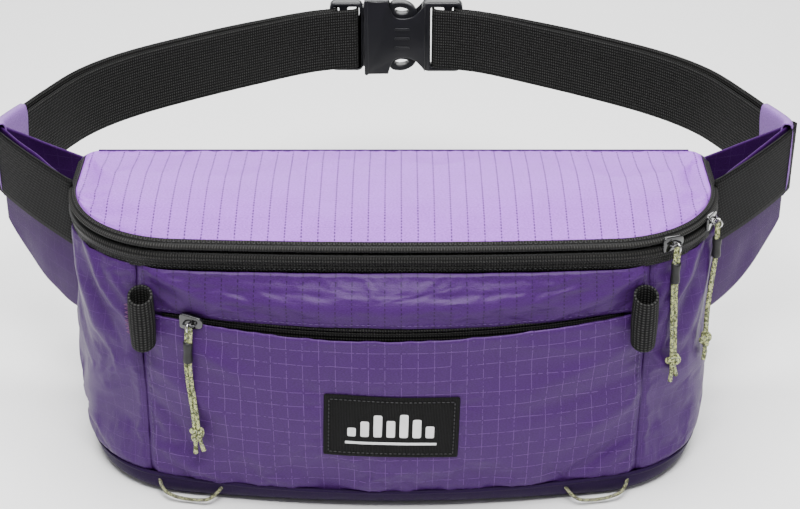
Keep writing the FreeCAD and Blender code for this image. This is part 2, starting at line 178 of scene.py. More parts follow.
class Finish:
    """A node material being put together around one Principled shader."""

    def __init__(self, name, colour, roughness, **values):
        self.material = bpy.data.materials.new(name)
        self.material.use_nodes = True
        self.tree = self.material.node_tree
        self.shader = self.tree.nodes["Principled BSDF"]
        self.shader.inputs["Base Color"].default_value = (*colour, 1)
        self.shader.inputs["Roughness"].default_value = roughness
        for socket, value in values.items():
            self.shader.inputs[socket.replace("_", " ")].default_value = value

    def node(self, kind, **settings):
        made = self.tree.nodes.new(kind)
        for key, value in settings.items():
            setattr(made, key, value)
        return made

    def join(self, source, target):
        self.tree.links.new(source, target)

    def sum(self, operation, first, second=0.0, third=0.0):
        made = self.node("ShaderNodeMath", operation=operation)
        for slot, value in zip(made.inputs, (first, second, third)):
            if isinstance(value, (int, float)):
                slot.default_value = value
            else:
                self.join(value, slot)
        return made.outputs[0]

    def uv(self):
        """Across and along the cloth, in metres, from the piece's own layout."""
        found = self.node("ShaderNodeUVMap", uv_map="cloth")
        split = self.node("ShaderNodeSeparateXYZ")
        self.join(found.outputs[0], split.inputs[0])
        return split.outputs[0], split.outputs[1], found.outputs[0]

    def place(self):
        found = self.node("ShaderNodeTexCoord")
        return found.outputs["Object"]

    def noise(self, where, scale, detail=3.0, rough=0.6):
        made = self.node("ShaderNodeTexNoise")
        made.inputs["Scale"].default_value = scale
        made.inputs["Detail"].default_value = detail
        made.inputs["Roughness"].default_value = rough
        self.join(where, made.inputs["Vector"])
        return made.outputs[0]

    def line(self, along, pitch, width):
        """1 on thin lines at a pitch across a coordinate, and 0 between them."""
        turned = self.sum("FRACT", self.sum("DIVIDE", along, pitch))
        off = self.sum("ABSOLUTE", self.sum("SUBTRACT", turned, 0.5))
        return self.sum("LESS_THAN", off, width / pitch / 2)

    def wave(self, along, pitch):
        """A sine from 0 to 1 with that pitch."""
        swing = self.sum("SINE", self.sum("MULTIPLY", along, 2 * math.pi / pitch))
        return self.sum("MULTIPLY_ADD", swing, 0.5, 0.5)

    def tint(self, factor, low, high):
        made = self.node("ShaderNodeMix", data_type="RGBA")
        self.join(factor, made.inputs[0])
        for slot, colour in ((6, low), (7, high)):
            if isinstance(colour, tuple):
                made.inputs[slot].default_value = (*colour, 1)
            else:
                self.join(colour, made.inputs[slot])
        return made.outputs[2]

    def paint(self, colour):
        self.join(colour, self.shader.inputs["Base Color"])

    def shine(self, low, high, factor):
        made = self.node("ShaderNodeMapRange")
        made.inputs["To Min"].default_value = low
        made.inputs["To Max"].default_value = high
        self.join(factor, made.inputs["Value"])
        self.join(made.outputs[0], self.shader.inputs["Roughness"])

    def bump(self, height, depth, strength=1.0):
        made = self.node("ShaderNodeBump")
        made.inputs["Strength"].default_value = strength
        made.inputs["Distance"].default_value = depth
        self.join(height, made.inputs["Height"])
        self.join(made.outputs[0], self.shader.inputs["Normal"])


def plain_material(name, colour, roughness):
    finish = Finish(name, colour, roughness)
    tone = finish.noise(finish.place(), 3.0)
    low = tuple(c * 0.99 for c in colour)
    finish.paint(finish.tint(tone, low, colour))
    return finish.material


GRID = 0.0080             # from one thick thread of the ripstop to the next
GRID_LINE = 0.00034


def ripstop(name, base, thread, dots=False, grid_share=0.7, shine=0.16):
    """Coated ripstop: fine diagonal weave with a square grid of thicker, broken threads."""
    finish = Finish(name, base, 0.45, Specular_IOR_Level=shine)
    across, up, where = finish.uv()
    slant = finish.node("ShaderNodeMapping")
    slant.inputs["Rotation"].default_value = (0, 0, 0.55)
    slant.inputs["Scale"].default_value = (1.0, 2.6, 1.0)
    finish.join(where, slant.inputs["Vector"])
    grain = finish.noise(slant.outputs[0], 950.0, 2.0, 0.7)
    speck = finish.sum("MULTIPLY_ADD", grain, 3.2, -1.1)
    broken = finish.sum("GREATER_THAN", finish.noise(where, 420.0, 2.0), 0.44)
    upright = finish.line(across, GRID, GRID_LINE)
    level = finish.line(up, GRID, GRID_LINE)
    if dots:
        upright = finish.sum("MULTIPLY", finish.line(across, GRID, 2 * GRID_LINE),
                             finish.sum("GREATER_THAN", finish.wave(up, 0.0021), 0.35))
        level = finish.sum("MULTIPLY", level, 0.15)
        broken = finish.sum("MAXIMUM", broken, 0.7)
    grid = finish.sum("MULTIPLY", finish.sum("MAXIMUM", upright, level), broken)
    tone = finish.noise(where, 60.0, 4.0)
    darker = tuple(c * 0.78 for c in base)
    lighter = tuple(min(1.0, c * 1.18) for c in base)
    cloth = finish.tint(tone, darker, lighter)
    low = finish.tint(finish.sum("MULTIPLY", speck, 0.46), cloth, tuple(min(1, c * 2.2) for c in base))
    finish.paint(finish.tint(finish.sum("MULTIPLY", grid, grid_share), low, thread))
    finish.shine(0.34, 0.54, tone)
    raised = finish.sum("MULTIPLY_ADD", grid, 1.4, grain)
    finish.bump(raised, 0.00022, 0.5)
    return finish.material


def webbing_material(name, pitch=0.0014, light=0.050):
    """Ribbed polypropylene webbing, its rib tops painted lighter as a highlight."""
    finish = Finish(name, (0.012, 0.012, 0.013), 0.65, Specular_IOR_Level=0.08)
    along, up, where = finish.uv()
    rib = finish.wave(along, pitch)
    row = finish.wave(up, pitch * 1.25)
    fleck = finish.noise(where, 900.0, 2.0)
    # Painted highlight: the rib tops, broken by flecks, are painted towards the light colour.
    high = finish.sum("MULTIPLY", finish.sum("MULTIPLY", rib, row), fleck)
    share = finish.sum("MULTIPLY", high, 1.6)
    finish.paint(finish.tint(share, (0.003, 0.003, 0.003), (light, light, light * 0.97)))
    finish.bump(finish.sum("MULTIPLY", row, rib), 0.00035, 0.8)
    return finish.material


def tape_material():
    """Reverse-coil zip tape: close ribs over the coil, and a flat weave beside it; the rib tops are painted
    lighter as a highlight.
    """
    finish = Finish("zip_tape_weave", (0.010, 0.010, 0.010), 0.5, Specular_IOR_Level=0.15)
    along, up, where = finish.uv()
    rib = finish.wave(along, 0.00135)
    rows = finish.wave(up, 0.0019)
    fleck = finish.noise(where, 1200.0, 2.0)
    # Painted highlight: the rib tops, broken by flecks, are painted lighter.
    lift = finish.sum("MULTIPLY", finish.sum("MULTIPLY", rib, rows), fleck)
    finish.paint(finish.tint(finish.sum("MULTIPLY", lift, 2.0), (0.003, 0.003, 0.003), (0.034, 0.033, 0.031)))
    finish.bump(finish.sum("MULTIPLY", rib, rows), 0.0005, 0.9)
    return finish.material


def cord_material(name, light, dark, grey, scale):
    """Mottled braid: short light, olive and grey picks."""
    finish = Finish(name, light, 0.75, Specular_IOR_Level=0.25)
    along, around = finish.uv()[:2]
    left = finish.wave(finish.sum("ADD", along, around), 0.0012)
    right = finish.wave(finish.sum("SUBTRACT", along, around), 0.0012)
    braid = finish.sum("MULTIPLY", left, right)
    speck = finish.noise(finish.place(), scale, 1.0)
    mottle = finish.tint(finish.sum("GREATER_THAN", speck, 0.50), dark, light)
    speck_grey = finish.noise(finish.place(), scale * 1.6, 1.0)
    mottle = finish.tint(finish.sum("GREATER_THAN", speck_grey, 0.58), mottle, grey)
    shaded = finish.tint(finish.sum("MULTIPLY", braid, 0.6), mottle, dark)
    finish.paint(shaded)
    finish.bump(braid, 0.0003, 0.6)
    return finish.material


def moulded_material(name, colour, roughness, grain, depth, **values):
    finish = Finish(name, colour, roughness, **values)
    where = finish.place()
    rub = finish.noise(where, 60.0, 4.0)
    finish.paint(finish.tint(rub, tuple(c * 0.75 for c in colour), tuple(c * 1.5 for c in colour)))
    finish.shine(roughness * 0.8, min(1.0, roughness * 1.25), rub)
    finish.bump(finish.noise(where, grain, 2.0), depth, 0.4)
    return finish.material


def mesh_material():
    """Black spacer mesh with rows of small holes."""
    finish = Finish("spacer_mesh_knit", (0.02, 0.02, 0.022), 0.8, Sheen_Weight=0.3)
    across, up = finish.uv()[:2]
    shift = finish.sum("MULTIPLY", finish.sum("FLOOR", finish.sum("DIVIDE", up, 0.0022)), 0.0016)
    columns = finish.wave(finish.sum("ADD", across, shift), 0.0032)
    hole = finish.sum("MULTIPLY", columns, finish.wave(up, 0.0022))
    # Painted shade: the holes are painted near black, darker than the mesh itself.
    finish.paint(finish.tint(hole, (0.045, 0.044, 0.05), (0.004, 0.004, 0.005)))
    finish.bump(finish.sum("SUBTRACT", 1.0, hole), 0.0006, 0.9)
    return finish.material


def make_finishes():
    purple = (0.033, 0.0078, 0.068)
    pale = (0.135, 0.062, 0.225)
    made = {
        "shell": ripstop("pocket_ripstop", purple, pale, grid_share=0.55),
        "upper": ripstop("upper_ripstop", purple, (0.012, 0.004, 0.024), dots=True),
        "side": ripstop("side_ripstop", purple, pale, grid_share=0.22),
        # The lid is the shell's purple cloth with painted sheen: its base colour is raised to stand in for light
        # glancing off its top.
        "lid": ripstop("lid_ripstop_painted_sheen", (0.235, 0.070, 0.425), (0.040, 0.012, 0.080), dots=True, grid_share=1.0),
        # The wings are the shell's purple cloth with painted shade: a darker copy of it for their shaded faces.
        "wing": ripstop("wing_ripstop_painted_shade", (0.026, 0.0054, 0.052), pale, grid_share=0.12, shine=0.05),
        "base": ripstop("base_cloth", (0.012, 0.005, 0.024), (0.03, 0.02, 0.05), grid_share=0.2, shine=0.05),
        "lining": ripstop("lining_weave", (0.16, 0.080, 0.26), (0.13, 0.065, 0.22), grid_share=0.3, shine=0.1),
        "webbing": webbing_material("webbing_ribs"),
        # The wing webbing is the belt's webbing with painted shade: a darker copy for the wings' shaded outer
        # faces.
        "shaded_webbing": webbing_material("wing_webbing_ribs_painted_shade", light=0.014),
        "tape": tape_material(),
        "cord": cord_material("pull_braid", (0.52, 0.55, 0.24), (0.075, 0.085, 0.030), (0.25, 0.26, 0.22), 800.0),
        "lash": cord_material("lash_braid", (0.30, 0.31, 0.16), (0.07, 0.07, 0.04), (0.18, 0.17, 0.15), 800.0),
        "sleeve": moulded_material("shrunk_sleeve", (0.008, 0.008, 0.008), 0.5, 900.0, 0.00008,
                                   Specular_IOR_Level=0.3),
        "buckle": moulded_material("buckle_acetal", (0.008, 0.008, 0.010), 0.32, 1500.0, 0.00004,
                                   Specular_IOR_Level=0.35),
        "metal": moulded_material("black_plating", (0.008, 0.008, 0.009), 0.14, 700.0, 0.00002, Coat_Weight=0.5),
        "wire": moulded_material("bright_wire", (0.45, 0.45, 0.44), 0.25, 700.0, 0.00002, Metallic=1.0),
        "coil": moulded_material("zip_nylon", (0.010, 0.010, 0.011), 0.4, 1200.0, 0.00003),
        "mesh": mesh_material(),
        "foam": moulded_material("pad_foam", (0.03, 0.03, 0.034), 0.85, 400.0, 0.0002),
        "thread": moulded_material("purple_thread", (0.060, 0.025, 0.115), 0.6, 1500.0, 0.00005),
        "black_thread": moulded_material("black_thread", (0.012, 0.012, 0.013), 0.55, 1500.0, 0.00005),
        "label": webbing_material("label_weave", 0.0006, 0.020),
        "motif": moulded_material("motif_thread", (0.60, 0.60, 0.60), 0.6, 1500.0, 0.0001),
        "tack": moulded_material("tack_thread", (0.13, 0.035, 0.12), 0.6, 1500.0, 0.00005),
    }
    return made


# ---- meshes ----

def link_mesh(name, bm, material):
    for face in bm.faces:
        face.smooth = True
    mesh = bpy.data.meshes.new(name)
    bm.to_mesh(mesh)
    bm.free()
    mesh.materials.append(material)
    made = bpy.data.objects.new(name, mesh)
    bpy.context.collection.objects.link(made)
    return made


def add_solidify(piece, thick, offset=-1.0):
    made = piece.modifiers.new("thickness", "SOLIDIFY")
    made.thickness = thick
    made.offset = offset
    made.use_even_offset = True


def laid_grid(counts, place, flat):
    """A cloth grid: place gives each point from 0 to 1 across and up, and flat its place on the cut."""
    bm = bmesh.new()
    bmesh.ops.create_grid(bm, x_segments=counts[0], y_segments=counts[1], size=0.5)
    layer = bm.loops.layers.uv.new("cloth")
    for face in bm.faces:
        for loop in face.loops:
            loop[layer].uv = flat(loop.vert.co.x + 0.5, loop.vert.co.y + 0.5)
    for vert in bm.verts:
        vert.co = place(vert.co.x + 0.5, vert.co.y + 0.5)
    return bm


def grid_piece(name, counts, place, flat, material, closed=False):
    bm = laid_grid(counts, place, flat)
    if closed:
        bmesh.ops.remove_doubles(bm, verts=bm.verts, dist=0.00001)
    return link_mesh(name, bm, material)


def run_cloth(piece, held, pressure, grow, cap, proud=0.0010):
    """Fills or slackens a cloth held along its seams, then keeps the shape, within a cap each way."""
    rest = [vert.co.copy() for vert in piece.data.vertices]
    normals = [vert.normal.copy() for vert in piece.data.vertices]
    edge = piece.vertex_groups.new(name="held")
    edge.add([index for index, co in enumerate(rest) if held(co)], 1.0, "REPLACE")
    made = piece.modifiers.new("cloth", "CLOTH")
    cloth = made.settings
    cloth.quality = 5
    cloth.mass = 0.15
    cloth.tension_stiffness = 15
    cloth.compression_stiffness = 15
    cloth.shear_stiffness = 8
    cloth.bending_stiffness = 0.4
    cloth.vertex_group_mass = "held"
    cloth.use_pressure = True
    cloth.uniform_pressure_force = pressure
    cloth.shrink_min = -grow
    cloth.effector_weights.gravity = 0
    made.collision_settings.use_self_collision = False
    made.collision_settings.use_collision = False
    made.point_cache.frame_start = 1
    made.point_cache.frame_end = CLOTH_STEPS
    for count in range(1, CLOTH_STEPS + 1):
        bpy.context.scene.frame_set(count)
    shaped = piece.evaluated_get(bpy.context.evaluated_depsgraph_get())
    found = [vert.co.copy() for vert in shaped.data.vertices]
    piece.modifiers.remove(made)
    piece.vertex_groups.remove(edge)
    for vert, start, end, normal in zip(piece.data.vertices, rest, found, normals):
        move = end - start
        out = move.dot(normal)
        if out > 0:
            move -= normal * (out - proud * math.tanh(out / proud))
        reach = move.length
        if reach > 0:
            vert.co = start + move * (cap * math.tanh(reach / cap) / reach)
    bpy.context.scene.frame_set(1)


def settle(piece, body, nodes=()):
    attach(piece, body)
    if nodes:
        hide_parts(*nodes)
    return piece


def between(a, b, t):
    return a + (b - a) * t


def smooth_steps(rows, at):
    """Values between listed rows, on a smooth curve through them; the first value is the key."""
    last = len(rows) - 2
    index = 0
    while index < last and at > rows[index + 1][0]:
        index += 1
    before = rows[max(index - 1, 0)]
    low, high = rows[index], rows[index + 1]
    after = rows[min(index + 2, last + 1)]
    span = high[0] - low[0]
    t = min(max((at - low[0]) / span, 0.0), 1.0)
    found = []
    for column in range(1, len(low)):
        slope_low = (high[column] - before[column]) / max(high[0] - before[0], 1e-9) * span
        slope_high = (after[column] - low[column]) / max(after[0] - low[0], 1e-9) * span
        found.append((2 * t ** 3 - 3 * t ** 2 + 1) * low[column] + (t ** 3 - 2 * t ** 2 + t) * slope_low
                     + (3 * t ** 2 - 2 * t ** 3) * high[column] + (t ** 3 - t ** 2) * slope_high)
    return found


class Outline:
    """The body's plan outline at one height, walked from the front centre round to the back."""

    def __init__(self, z):
        rows = [(row[0], row[1], row[2], 1 / row[3], row[4]) for row in BODY_LEVELS]
        self.half, front, bend, self.corner = smooth_steps(rows, z)
        self.radius = 1 / bend
        self.front = FRONT + front
        reach = math.sqrt((self.radius - self.corner) ** 2 - (self.half - self.corner) ** 2)
        self.cx = self.half - self.corner
        self.cy = self.front + self.radius - reach
        self.tangent = math.asin(self.cx / (self.radius - self.corner))
        self.arc = self.radius * self.tangent
        self.bend = self.corner * (math.pi / 2 - self.tangent)
        self.side = BACK - BACK_CORNER - self.cy
        self.turn = BACK_CORNER * math.pi / 2

    def seam(self, x):
        """Distance round the outline to a seam on the front corner."""
        return self.arc + self.corner * (math.asin((x - self.cx) / self.corner) - self.tangent)

    def back_start(self):
        return self.arc + self.bend + self.side

    def whole(self):
        return self.back_start() + self.turn + self.cx + self.corner - BACK_CORNER

    def at(self, s):
        """Point and outward direction at a signed distance from the front centre."""
        sign = -1 if s < 0 else 1
        s = abs(s)
        if s <= self.arc:
            angle = s / self.radius
            out = Vector((math.sin(angle), -math.cos(angle), 0))
            point = Vector((0, self.front + self.radius, 0)) + out * self.radius
        elif s <= self.arc + self.bend:
            angle = self.tangent + (s - self.arc) / self.corner
            out = Vector((math.sin(angle), -math.cos(angle), 0))
            point = Vector((self.cx, self.cy, 0)) + out * self.corner
        elif s <= self.back_start():
            out = Vector((1, 0, 0))
            point = Vector((self.half, self.cy + s - self.arc - self.bend, 0))
        elif s <= self.back_start() + self.turn:
            angle = (s - self.back_start()) / BACK_CORNER
            out = Vector((math.cos(angle), math.sin(angle), 0))
            centre = Vector((self.half - BACK_CORNER, BACK - BACK_CORNER, 0))
            point = centre + out * BACK_CORNER
        else:
            out = Vector((0, 1, 0))
            x = self.half - BACK_CORNER - (s - self.back_start() - self.turn)
            point = Vector((x, BACK, 0))
        return Vector((sign * point.x, point.y, 0)), Vector((sign * out.x, out.y, 0))


_outlines = {}


def outline_at(z):
    key = round(z, 5)
    if key not in _outlines:
        _outlines[key] = Outline(z)
    return _outlines[key]


def fold_relief(folds, x, z):
    """Height of soft folds at a point; each fold runs between two points and fades at its ends."""
    total = 0.0
    for (x0, z0), (x1, z1), width, height in folds:
        run_x, run_z = x1 - x0, z1 - z0
        length = math.hypot(run_x, run_z)
        along = ((x - x0) * run_x + (z - z0) * run_z) / length ** 2
        away = ((x - x0) * run_z - (z - z0) * run_x) / length
        if -0.15 < along < 1.15:
            taper = math.sin(math.pi * min(max((along + 0.15) / 1.3, 0), 1))
            total += height * taper * math.exp(-(away / width) ** 2)
    return total


def ripple(x, z, size, height, seed):
    return height * noise.noise(Vector((x / size, z / size, seed)))


def tuck(distance, width, depth):
    """Cloth drawn in beside a seam."""
    return -depth * math.exp(-(distance / width) ** 2)


# ---- the body ----

POCKET_FOLDS = [
    ((-0.108, 0.100), (-0.070, 0.080), 0.0050, 0.0016),
    ((-0.118, 0.080), (-0.080, 0.052), 0.0060, 0.0018),
    ((-0.122, 0.062), (-0.096, 0.030), 0.0050, -0.0014),
    ((-0.120, 0.030), (-0.085, 0.014), 0.0060, 0.0016),
    ((0.120, 0.092), (0.066, 0.074), 0.0055, 0.0015),
    ((0.122, 0.074), (0.060, 0.060), 0.0050, -0.0013),
    ((0.122, 0.060), (0.078, 0.036), 0.0060, 0.0017),
    ((0.122, 0.040), (0.092, 0.020), 0.0050, -0.0013),
    ((0.060, 0.102), (0.108, 0.092), 0.0045, 0.0012),
    ((-0.040, 0.022), (0.050, 0.018), 0.0080, 0.0012),
]
UPPER_FOLDS = [
    ((-0.122, 0.132), (-0.100, 0.116), 0.0035, -0.0015),
    ((-0.108, 0.130), (-0.072, 0.114), 0.0045, 0.0012),
    ((0.118, 0.130), (0.090, 0.116), 0.0040, 0.0014),
    ((0.100, 0.128), (0.060, 0.116), 0.0050, -0.0010),
]
GUSSET_FOLDS = [
    # across is measured round the outline from the front seam
    ((0.030, 0.134), (0.004, 0.098), 0.0038, 0.0026),
    ((0.040, 0.132), (0.012, 0.088), 0.0042, -0.0020),
    ((0.052, 0.132), (0.018, 0.078), 0.0050, 0.0022),
    ((0.064, 0.120), (0.034, 0.070), 0.0060, -0.0016),
    ((0.014, 0.128), (0.004, 0.112), 0.0030, 0.0018),
    ((0.002, 0.084), (0.026, 0.062), 0.0050, 0.0017),
    ((0.002, 0.064), (0.024, 0.040), 0.0060, -0.0014),
    ((0.002, 0.040), (0.030, 0.022), 0.0060, 0.0018),
    ((0.070, 0.060), (0.050, 0.020), 0.0080, 0.0018),
]


def pocket_relief(x, z):
    edge = SEAM_X - abs(x)
    calm = 1 - math.exp(-((z - SLIT) / 0.008) ** 2)
    raise_mid = 0.0016 * math.exp(-((z - SLIT) / 0.006) ** 2) * math.cos(x / SEAM_X * math.pi / 2)
    ripples = ripple(x, z, 0.034, 0.0010, 1.0), ripple(x, z, 0.014, 0.0003, 4.0)
    folds = fold_relief(POCKET_FOLDS, x, z) + ripples[0] + ripples[1]
    return folds * calm + tuck(edge, 0.0030, 0.0016) + tuck(z - BASE_TOP, 0.003, 0.0012) + raise_mid


def upper_relief(x, z):
    edge = SEAM_X - abs(x)
    rise = min(max((z - SLIT) / (PANEL_TOP - SLIT), 0), 1)
    fade = 1 - math.exp(-edge / 0.012)
    roll = 0.0044 * math.exp(-((rise - 0.86) / 0.17) ** 2) * fade
    under = -0.0032 * max(1 - rise / 0.55, 0) ** 1.4 * fade
    return (fold_relief(UPPER_FOLDS, x, z) + tuck(edge, 0.0030, 0.0016) + roll + under
            + tuck(PANEL_TOP - z, 0.0014, 0.0006)
            + ripple(x, z, 0.026, 0.0006, 8.0) + ripple(x, z * 2, 0.011, 0.0003, 3.0))


def gusset_relief(side):
    seed = 12.0 if side < 0 else 21.0

    def relief(across, z, whole):
        return (fold_relief(GUSSET_FOLDS, across, z) + tuck(across, 0.0030, 0.0016)
                + tuck(z - BASE_TOP, 0.003, 0.0012) + tuck(whole - across, 0.0030, 0.0010)
                + ripple(across, z, 0.030, 0.0012, seed) + ripple(across, z, 0.012, 0.0004, seed + 3))
    return relief


def slit_gap(x):
    """Half the pocket slit's opening: it gapes left of the middle and closes to the sides."""
    spread = math.exp(-((x + 0.012) / 0.062) ** 2)
    return 0.0005 + 0.0021 * spread


def up_front(low, high):
    """Length of the front's curve between two heights, at the middle."""
    heights = [between(low, high, step / 24) for step in range(25)]
    line = [Vector((outline_at(z).front, z)) for z in heights]
    return sum((b - a).length for a, b in zip(line, line[1:]))


def front_panel(name, z_low, z_high, relief, node, finish, slack):
    def height(x, v):
        low = z_low(x)
        return between(low, z_high(x), v)

    def place(u, v):
        x_guess = between(-SEAM_X, SEAM_X, u)
        z = height(x_guess, v)
        shape = outline_at(z)
        s = between(-1, 1, u) * shape.seam(SEAM_X)
        point, out = shape.at(s)
        return point + out * relief(point.x, z) + Vector((0, 0, z))

    def flat(u, v):
        x = between(-SEAM_X, SEAM_X, u)
        return x * 1.03, height(x, v)

    def held(co):
        edge = abs(co.x) > SEAM_X - 0.0025 or co.z > z_high(co.x) - 0.001 or co.z < z_low(co.x) + 0.001
        label = (abs(co.x - LABEL_CENTRE[0]) < LABEL_HALF[0] + 0.001
                 and abs(co.z - LABEL_CENTRE[1]) < LABEL_HALF[1] + 0.001)
        return edge or label

    piece = grid_piece(name, (180, 80), place, flat, FINISH[finish])
    facing(piece, Vector((0, -1, 0)))
    run_cloth(piece, held, 0.3, slack, 0.0034)
    add_solidify(piece, CLOTH)
    low, high = z_low(SEAM_X), z_high(SEAM_X)
    2 * outline_at((low + high) / 2).seam(SEAM_X)
    up_front(low, high)
    return settle(piece, "root", (node,))


def make_front():
    front_panel("front_pocket_cloth", lambda x: BASE_TOP, lambda x: SLIT - slit_gap(x), pocket_relief,
                "front_pocket_panel", "shell", 0.016)
    front_panel("front_upper_cloth", lambda x: SLIT + slit_gap(x), lambda x: PANEL_TOP, upper_relief,
                "front_upper_panel", "upper", 0.008)


def make_gusset(name, side):
    relief = gusset_relief(side)

    def place(u, v):
        z_top = PANEL_TOP
        z = between(BASE_TOP, z_top, v)
        shape = outline_at(z)
        start = shape.seam(SEAM_X)
        end = shape.back_start() + shape.turn + (shape.half - BACK_CORNER - BACK_SEAM_X)
        s = between(start, end, u if side > 0 else 1 - u)
        point, out = shape.at(side * s)
        return point + out * relief(s - start, z, end - start) + Vector((0, 0, z))

    def flat(u, v):
        along = u if side > 0 else 1 - u
        return side * (0.129 + along * 0.150), between(BASE_TOP, PANEL_TOP, v)

    def held(co):
        return (co.z > PANEL_TOP - 0.001 or co.z < BASE_TOP + 0.001 or abs(co.x) < SEAM_X + 0.0015
                or co.y > BACK - 0.004)

    piece = grid_piece("gusset_cloth_" + name, (120, 90), place, flat, FINISH["side"])
    facing(piece, Vector((side, -0.3, 0)))
    run_cloth(piece, held, 0.3, 0.018, 0.004, 0.0016)
    add_solidify(piece, CLOTH)
    middle = outline_at((BASE_TOP + PANEL_TOP) / 2)
    back_seam = middle.back_start() + middle.turn + middle.half - BACK_CORNER - BACK_SEAM_X
    around = back_seam - middle.seam(SEAM_X)
    settle(piece, "root", ("side_gusset_" + name,))
    make_zip_end(name, side)


def make_zip_end(name, side):
    """Cloth corner behind the zip's end, up to the lid's hinge line."""
    def place(u, v):
        z = between(PANEL_TOP - 0.001, BACK_TOP, v)
        shape = outline_at(RIM_SHAPE_Z)
        start = shape.back_start() - 0.0022
        end = shape.back_start() + shape.turn + (shape.half - BACK_CORNER - BACK_SEAM_X)
        point, out = shape.at(side * between(start, end, u if side > 0 else 1 - u))
        return point - out * 0.0002 + Vector((0, 0, z))

    piece = grid_piece("zip_end_" + name, (24, 10), place, lambda u, v: (u * 0.02, v * 0.013),
                       FINISH["shell"])
    add_solidify(piece, CLOTH)
    shape = outline_at(RIM_SHAPE_Z)
    settle(piece, "root")


def make_base():
    """Dark bottom panel with a rolled edge up to the bottom seam."""
    def place(u, v):
        z = between(0.0002, BASE_TOP, max(v * 1.25 - 0.25, 0.0) ** 1.2)
        shape = outline_at(z)
        inset = 0.010 * max(0.2 - v, 0) / 0.2
        limit = shape.whole()
        point, out = shape.at(between(-limit, limit, u) * 0.99999)
        return point - out * (inset + 0.0003) + Vector((0, 0, z))

    def flat(u, v):
        return u * 0.9, v * 0.02

    bm = laid_grid((220, 14), place, flat)
    bmesh.ops.remove_doubles(bm, verts=bm.verts, dist=0.0002)
    lower = [e for e in bm.edges if e.is_boundary and max(v.co.z for v in e.verts) < 0.002]
    bmesh.ops.holes_fill(bm, edges=lower, sides=0)
    bmesh.ops.recalc_face_normals(bm, faces=bm.faces)
    piece = link_mesh("bottom_cloth", bm, FINISH["base"])
    add_solidify(piece, CLOTH)
    settle(piece, "root", ("bottom_panel",))


def make_back():
    def place(u, v):
        x = between(-BACK_SEAM_X, BACK_SEAM_X, 1 - u)
        z = between(BASE_TOP, BACK_TOP, v)
        return Vector((x, BACK - 0.0003 + ripple(x, z, 0.05, 0.0002, 2.0), z))

    def flat(u, v):
        return u * 0.3, v * 0.13

    piece = grid_piece("back_cloth", (60, 30), place, flat, FINISH["shell"])
    add_solidify(piece, CLOTH)
    settle(piece, "root", ("back_panel",))
    low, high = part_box("pocket_divider")

    def wall(u, v):
        x = between(low[0], high[0], u)
        z = between(low[2], high[2], v)
        return Vector((x, low[1] + ripple(x, z, 0.04, 0.0008, 6.0), z))

    piece = grid_piece("divider_cloth", (60, 40), wall, lambda u, v: (u * 0.25, v * 0.12), FINISH["lining"])
    add_solidify(piece, CLOTH)
    settle(piece, "root", ("pocket_divider",))


def rounded(u, v, half_w, half_h, radius):
    """A square grid pulled in to a rectangle with round corners."""
    x = between(-half_w, half_w, u)
    z = between(-half_h, half_h, v)
    over_x = abs(x) - (half_w - radius)
    over_z = abs(z) - (half_h - radius)
    if over_x > 0 and over_z > 0:
        longest = max(over_x, over_z)
        far = math.hypot(over_x, over_z)
        pull = longest / far if far > 0 else 1
        x = math.copysign(half_w - radius + over_x * pull, x)
        z = math.copysign(half_h - radius + over_z * pull, z)
    return x, z


def make_back_pad():
    """Quilted back panel: foam under spacer mesh, sewn down in two curved channels."""
    low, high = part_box("back_pad")
    mesh_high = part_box("back_mesh")[1]
    half_w = (high[0] - low[0]) / 2
    half_h = (high[2] - low[2]) / 2
    middle = (high[2] + low[2]) / 2
    ground = low[1] + 0.0012

    def off_channel(x, z):
        bow = 0.062 * (1 - 0.12 * ((z - middle) / half_h) ** 2)
        return abs(abs(x) - bow)

    def quilt(x, z):
        edge = min(half_w - abs(x), half_h - abs(z - middle))
        sewn_down = 0.8 * math.exp(-(off_channel(x, z) / 0.0035) ** 2)
        return (1 - math.exp(-max(edge, 0) / 0.005)) * (1 - sewn_down)

    def held(co):
        return (off_channel(co.x, co.z) < 0.0018 or abs(co.x) > half_w - 0.002
                or abs(co.z - middle) > half_h - 0.002)

    for name, node, top, finish, share in (("back_mesh_skin", "back_mesh", mesh_high[1] - 0.0020, "mesh", 0),
                                           ("back_foam", "back_pad", mesh_high[1] - 0.0034, "foam", 0.001)):
        def skin(u, v):
            x, z = rounded(1 - u, v, half_w - share, half_h - share, 0.014)
            return Vector((x, between(ground - share / 2, top, quilt(x, z + middle)), z + middle))

        piece = grid_piece(name, (130, 64), skin, lambda u, v: (u * 0.294, v * 0.142), FINISH[finish])
        facing(piece, Vector((0, 1, 0)))
        run_cloth(piece, held, 2.0, 0.004, 0.0022, 0.0022)
        add_solidify(piece, 0.0008)
        settle(piece, "root", (node,))
    binding = edge_binding(half_w, half_h, middle, low[1])
    settle(binding, "root")


def edge_binding(half_w, half_h, middle, y):
    """Round bound edge sewn around the back padding."""
    points = []
    count = 160
    for step in range(count):
        angle = 2 * math.pi * step / count
        reach = max(abs(math.cos(angle)), abs(math.sin(angle)))
        u = 0.5 + 0.5 * math.cos(angle) / reach
        v = 0.5 + 0.5 * math.sin(angle) / reach
        x, z = rounded(u, v, half_w - 0.001, half_h - 0.001, 0.014)
        points.append(Vector((x, y + 0.0024, max(z + middle, 0.0020))))
    points.append(points[0])
    return tube("pad_binding", points, lambda t: 0.0019, 8, FINISH["webbing"], ends=False)


# ---- lid ----

def make_hinge():
    """Strip of shell cloth that folds where the lid is sewn to the back."""
    def place(u, v):
        x = between(-0.1535, 0.1535, u)
        turn = math.pi / 2 * v
        y = BACK - 0.0050 + 0.0048 * math.cos(turn)
        z = between(BACK_TOP - 0.0022, LID_EDGE + 0.0012, math.sin(turn))
        return Vector((x, y, z))

    piece = grid_piece("hinge_cloth", (90, 16), place, lambda u, v: (u * 0.307, v * 0.008), FINISH["shell"])
    facing(piece, Vector((0, 1, 0.3)))
    add_solidify(piece, 0.0007)
    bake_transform(piece)


